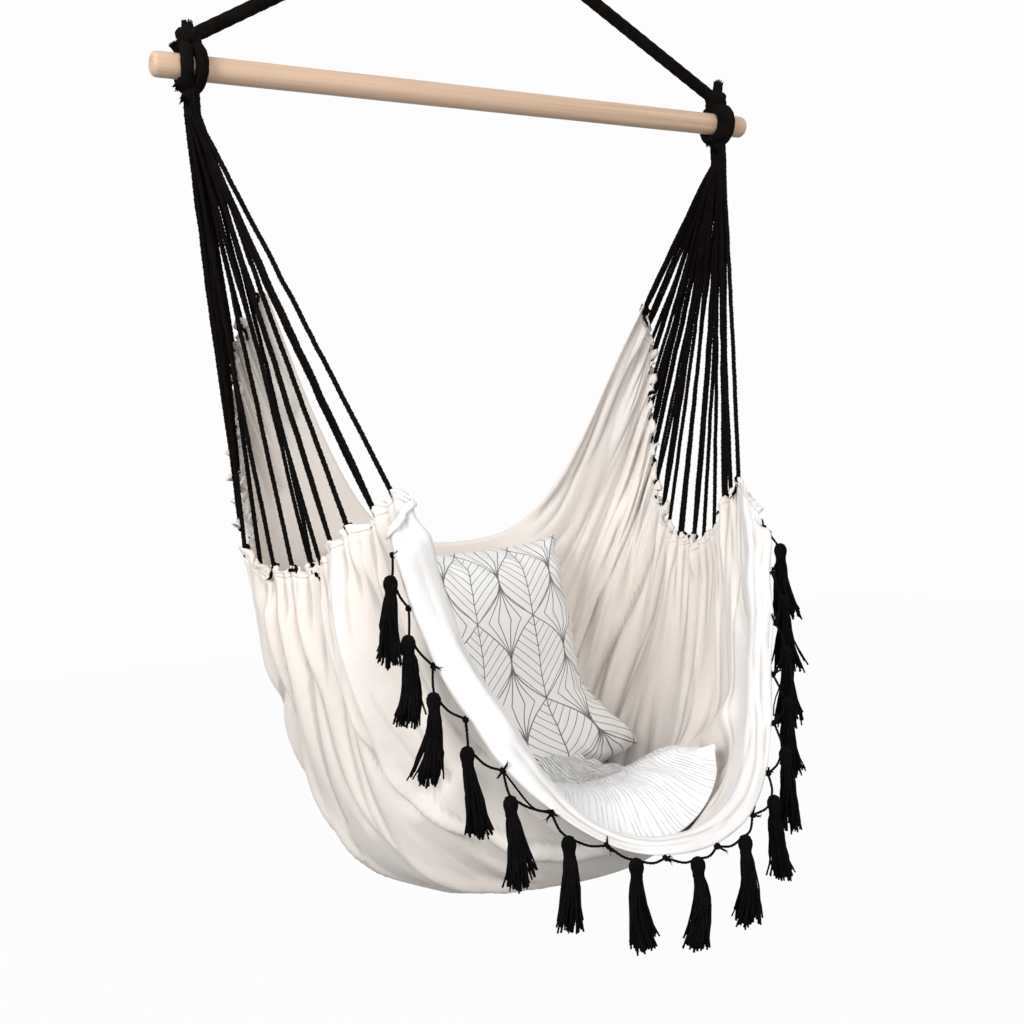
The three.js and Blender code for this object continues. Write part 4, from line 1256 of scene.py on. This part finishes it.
def pad_form():
    """Under face, top face and cloth places of the pad, which lies on the sling."""
    cells_across, cells_along, edge, full, flatter = 50, 48, 0.012, 0.115 * 0.93, 0.6
    across = np.linspace(-5 / 12, 0.425, cells_across + 1)
    along = np.linspace(5 / 9, 17 / 18, cells_along + 1)
    base = smooth_sling(across, along)
    across_way, along_way, out_way = cloth_ways(base)
    a, b = np.meshgrid(np.linspace(-1, 1, cells_across + 1), np.linspace(-1, 1, cells_along + 1))
    drawn_in = np.where(a > 0, 0.021, 0.026)
    corner = smooth(np.abs(a), 0.45, 1.0) * smooth(np.abs(b), 0.45, 1.0) * drawn_in
    base = base + lip_lean(across, along)
    outwards = across_way * np.sign(a)[..., None] + along_way * np.sign(b)[..., None]
    base = base - corner[..., None] * outwards
    thick = edge + (full - edge) * crown(a, b) * (1 + (flatter - 1) * a ** 2)
    rolled = bell(b + 0.52, 0.26) * (1 - smooth(np.abs(a), 0.7, 1.0))
    thick = thick + rolled * (0.046 + 0.026 * bell(a - 0.5, 0.36))
    from_edge = 1 - np.maximum(np.abs(a), np.abs(b))
    inside = 0.005 + 0.006 * smooth(from_edge, 0.0, 0.2) + 0.010 * smooth(a, 0.75, 1.0)
    faces = [base - out_way * depth[..., None] for depth in (inside, inside - 0.002 + thick)]
    return *faces, np.stack([a * PAD_SPREAD[0], b * PAD_SPREAD[1]], 2)


def seat_pad():
    pad = closed_pad("ribbed_pad", *pad_form(), KNIT)
    free = mesh_values(pad.data.attributes["upper"].data, "value")
    puff(pad, pressure=3.0, most=0.006, free=free)
    subdivided(pad, 2)
    mesh = pad.data
    x, y, upper = (mesh_values(mesh.attributes[label].data, "value")
                   for label in ("place_across", "place_along", "upper"))
    # two rope-like crests of slanted beads along the back, one behind the other
    waver = 0.1 * cloth_noise(x / 0.07, 0, 24)
    crests = [bell(y / PAD_SPREAD[1] + place + waver, 0.055) for place in (0.5, 0.66)]
    beads = [np.abs(np.sin(math.pi * (x / pitch + y / 0.03))) for pitch in (0.019, 0.023)]
    soft = (cloth_noise(x / 0.05, y / 0.05, 21) * 0.003
            + cloth_noise(x / 0.02, y / 0.03, 22) * 0.0012)
    ropes = list(zip(crests, beads))
    lift = upper * (soft + sum(crest * (0.004 + 0.0075 * bead ** 0.6) for crest, bead in ropes))
    # painted shade: the gaps between the beads, stored for the knit finish to darken
    painted_hollow_shade = sum(crest * np.clip(0.45 - bead, 0, 1) * 1.5 for crest, bead in ropes)
    raised = mesh_values(mesh.vertex_normals, "vector", 3) * lift[:, None]
    mesh.vertices.foreach_set("co", (mesh_values(mesh.vertices, "co", 3, float) + raised).ravel())
    store_values(pad, "painted_hollow_shade", np.clip(painted_hollow_shade, 0, 1) * upper)
    mesh.update()
    worn_by(pad, "pad", "seat_pad")


back_pillow()
seat_pad()


# Floor, backdrop and light

def seen_by_camera(tree):
    """Whether a ray comes from the camera, also by way of glass or metal."""
    path = add(tree, "ShaderNodeLightPath").outputs
    return Value(tree, path["Is Camera Ray"]).to("MAXIMUM", path["Is Glossy Ray"]).to(
        "MAXIMUM", path["Is Transmission Ray"])


def mix_shaders(tree, share, a, b, output):
    mix = add(tree, "ShaderNodeMixShader", {0: share, 1: a.outputs[0], 2: b.outputs[0]})
    join(tree, mix.outputs[0], tree.nodes[output].inputs["Surface"])


def studio_floor(level=-1.99, reach=7.0, glow_share=0.97):
    """A pale floor that shows the camera a white backdrop and keeps a little of its shading."""
    corners = [(x * reach, y * reach, level) for x, y in ((-1, -1), (1, -1), (1, 1), (-1, 1))]
    material, tree, shader = finish("pale_floor", (0.24, 0.24, 0.24), 0.9)
    seen = seen_by_camera(tree)
    glow = add(tree, "ShaderNodeEmission", {"Color": (1, 1, 1, 1), "Strength": 1.0})
    mix_shaders(tree, seen * glow_share, shader, glow, "Material Output")
    new_piece("studio_floor", corners, [(0, 1, 2, 3)], material)


def pale_room():
    world = scene.world = bpy.data.worlds.new("pale_room")
    world.use_nodes = True
    tree = world.node_tree
    room = tree.nodes["Background"]
    room.inputs["Color"].default_value = (1, 1, 1, 1)
    room.inputs["Strength"].default_value = 0.65
    shown = add(tree, "ShaderNodeBackground", {"Color": (0.982, 0.982, 0.982, 1), "Strength": 1.0})
    mix_shaders(tree, seen_by_camera(tree), room, shown, "World Output")


def lamps(aim=(0, -0.05, -1.05)):
    for label, place, size, power in (
        ("key_light", (-2.8, -1.8, 0.1), 1.3, 66),
        ("side_light", (-0.7, -3.1, -0.3), 1.3, 36),
        ("back_light", (0.6, 2.8, 0.6), 1.8, 14),
    ):
        lamp = bpy.data.lights.new(label, "AREA")
        lamp.shape, lamp.size, lamp.energy = "SQUARE", size, power
        turn = (Vector(aim) - Vector(place)).to_track_quat("-Z", "Y").to_matrix().to_4x4()
        linked(bpy.data.objects.new(label, lamp)).matrix_world = Matrix.Translation(place) @ turn


studio_floor()
pale_room()
lamps()
scene.view_settings.view_transform = "Standard"
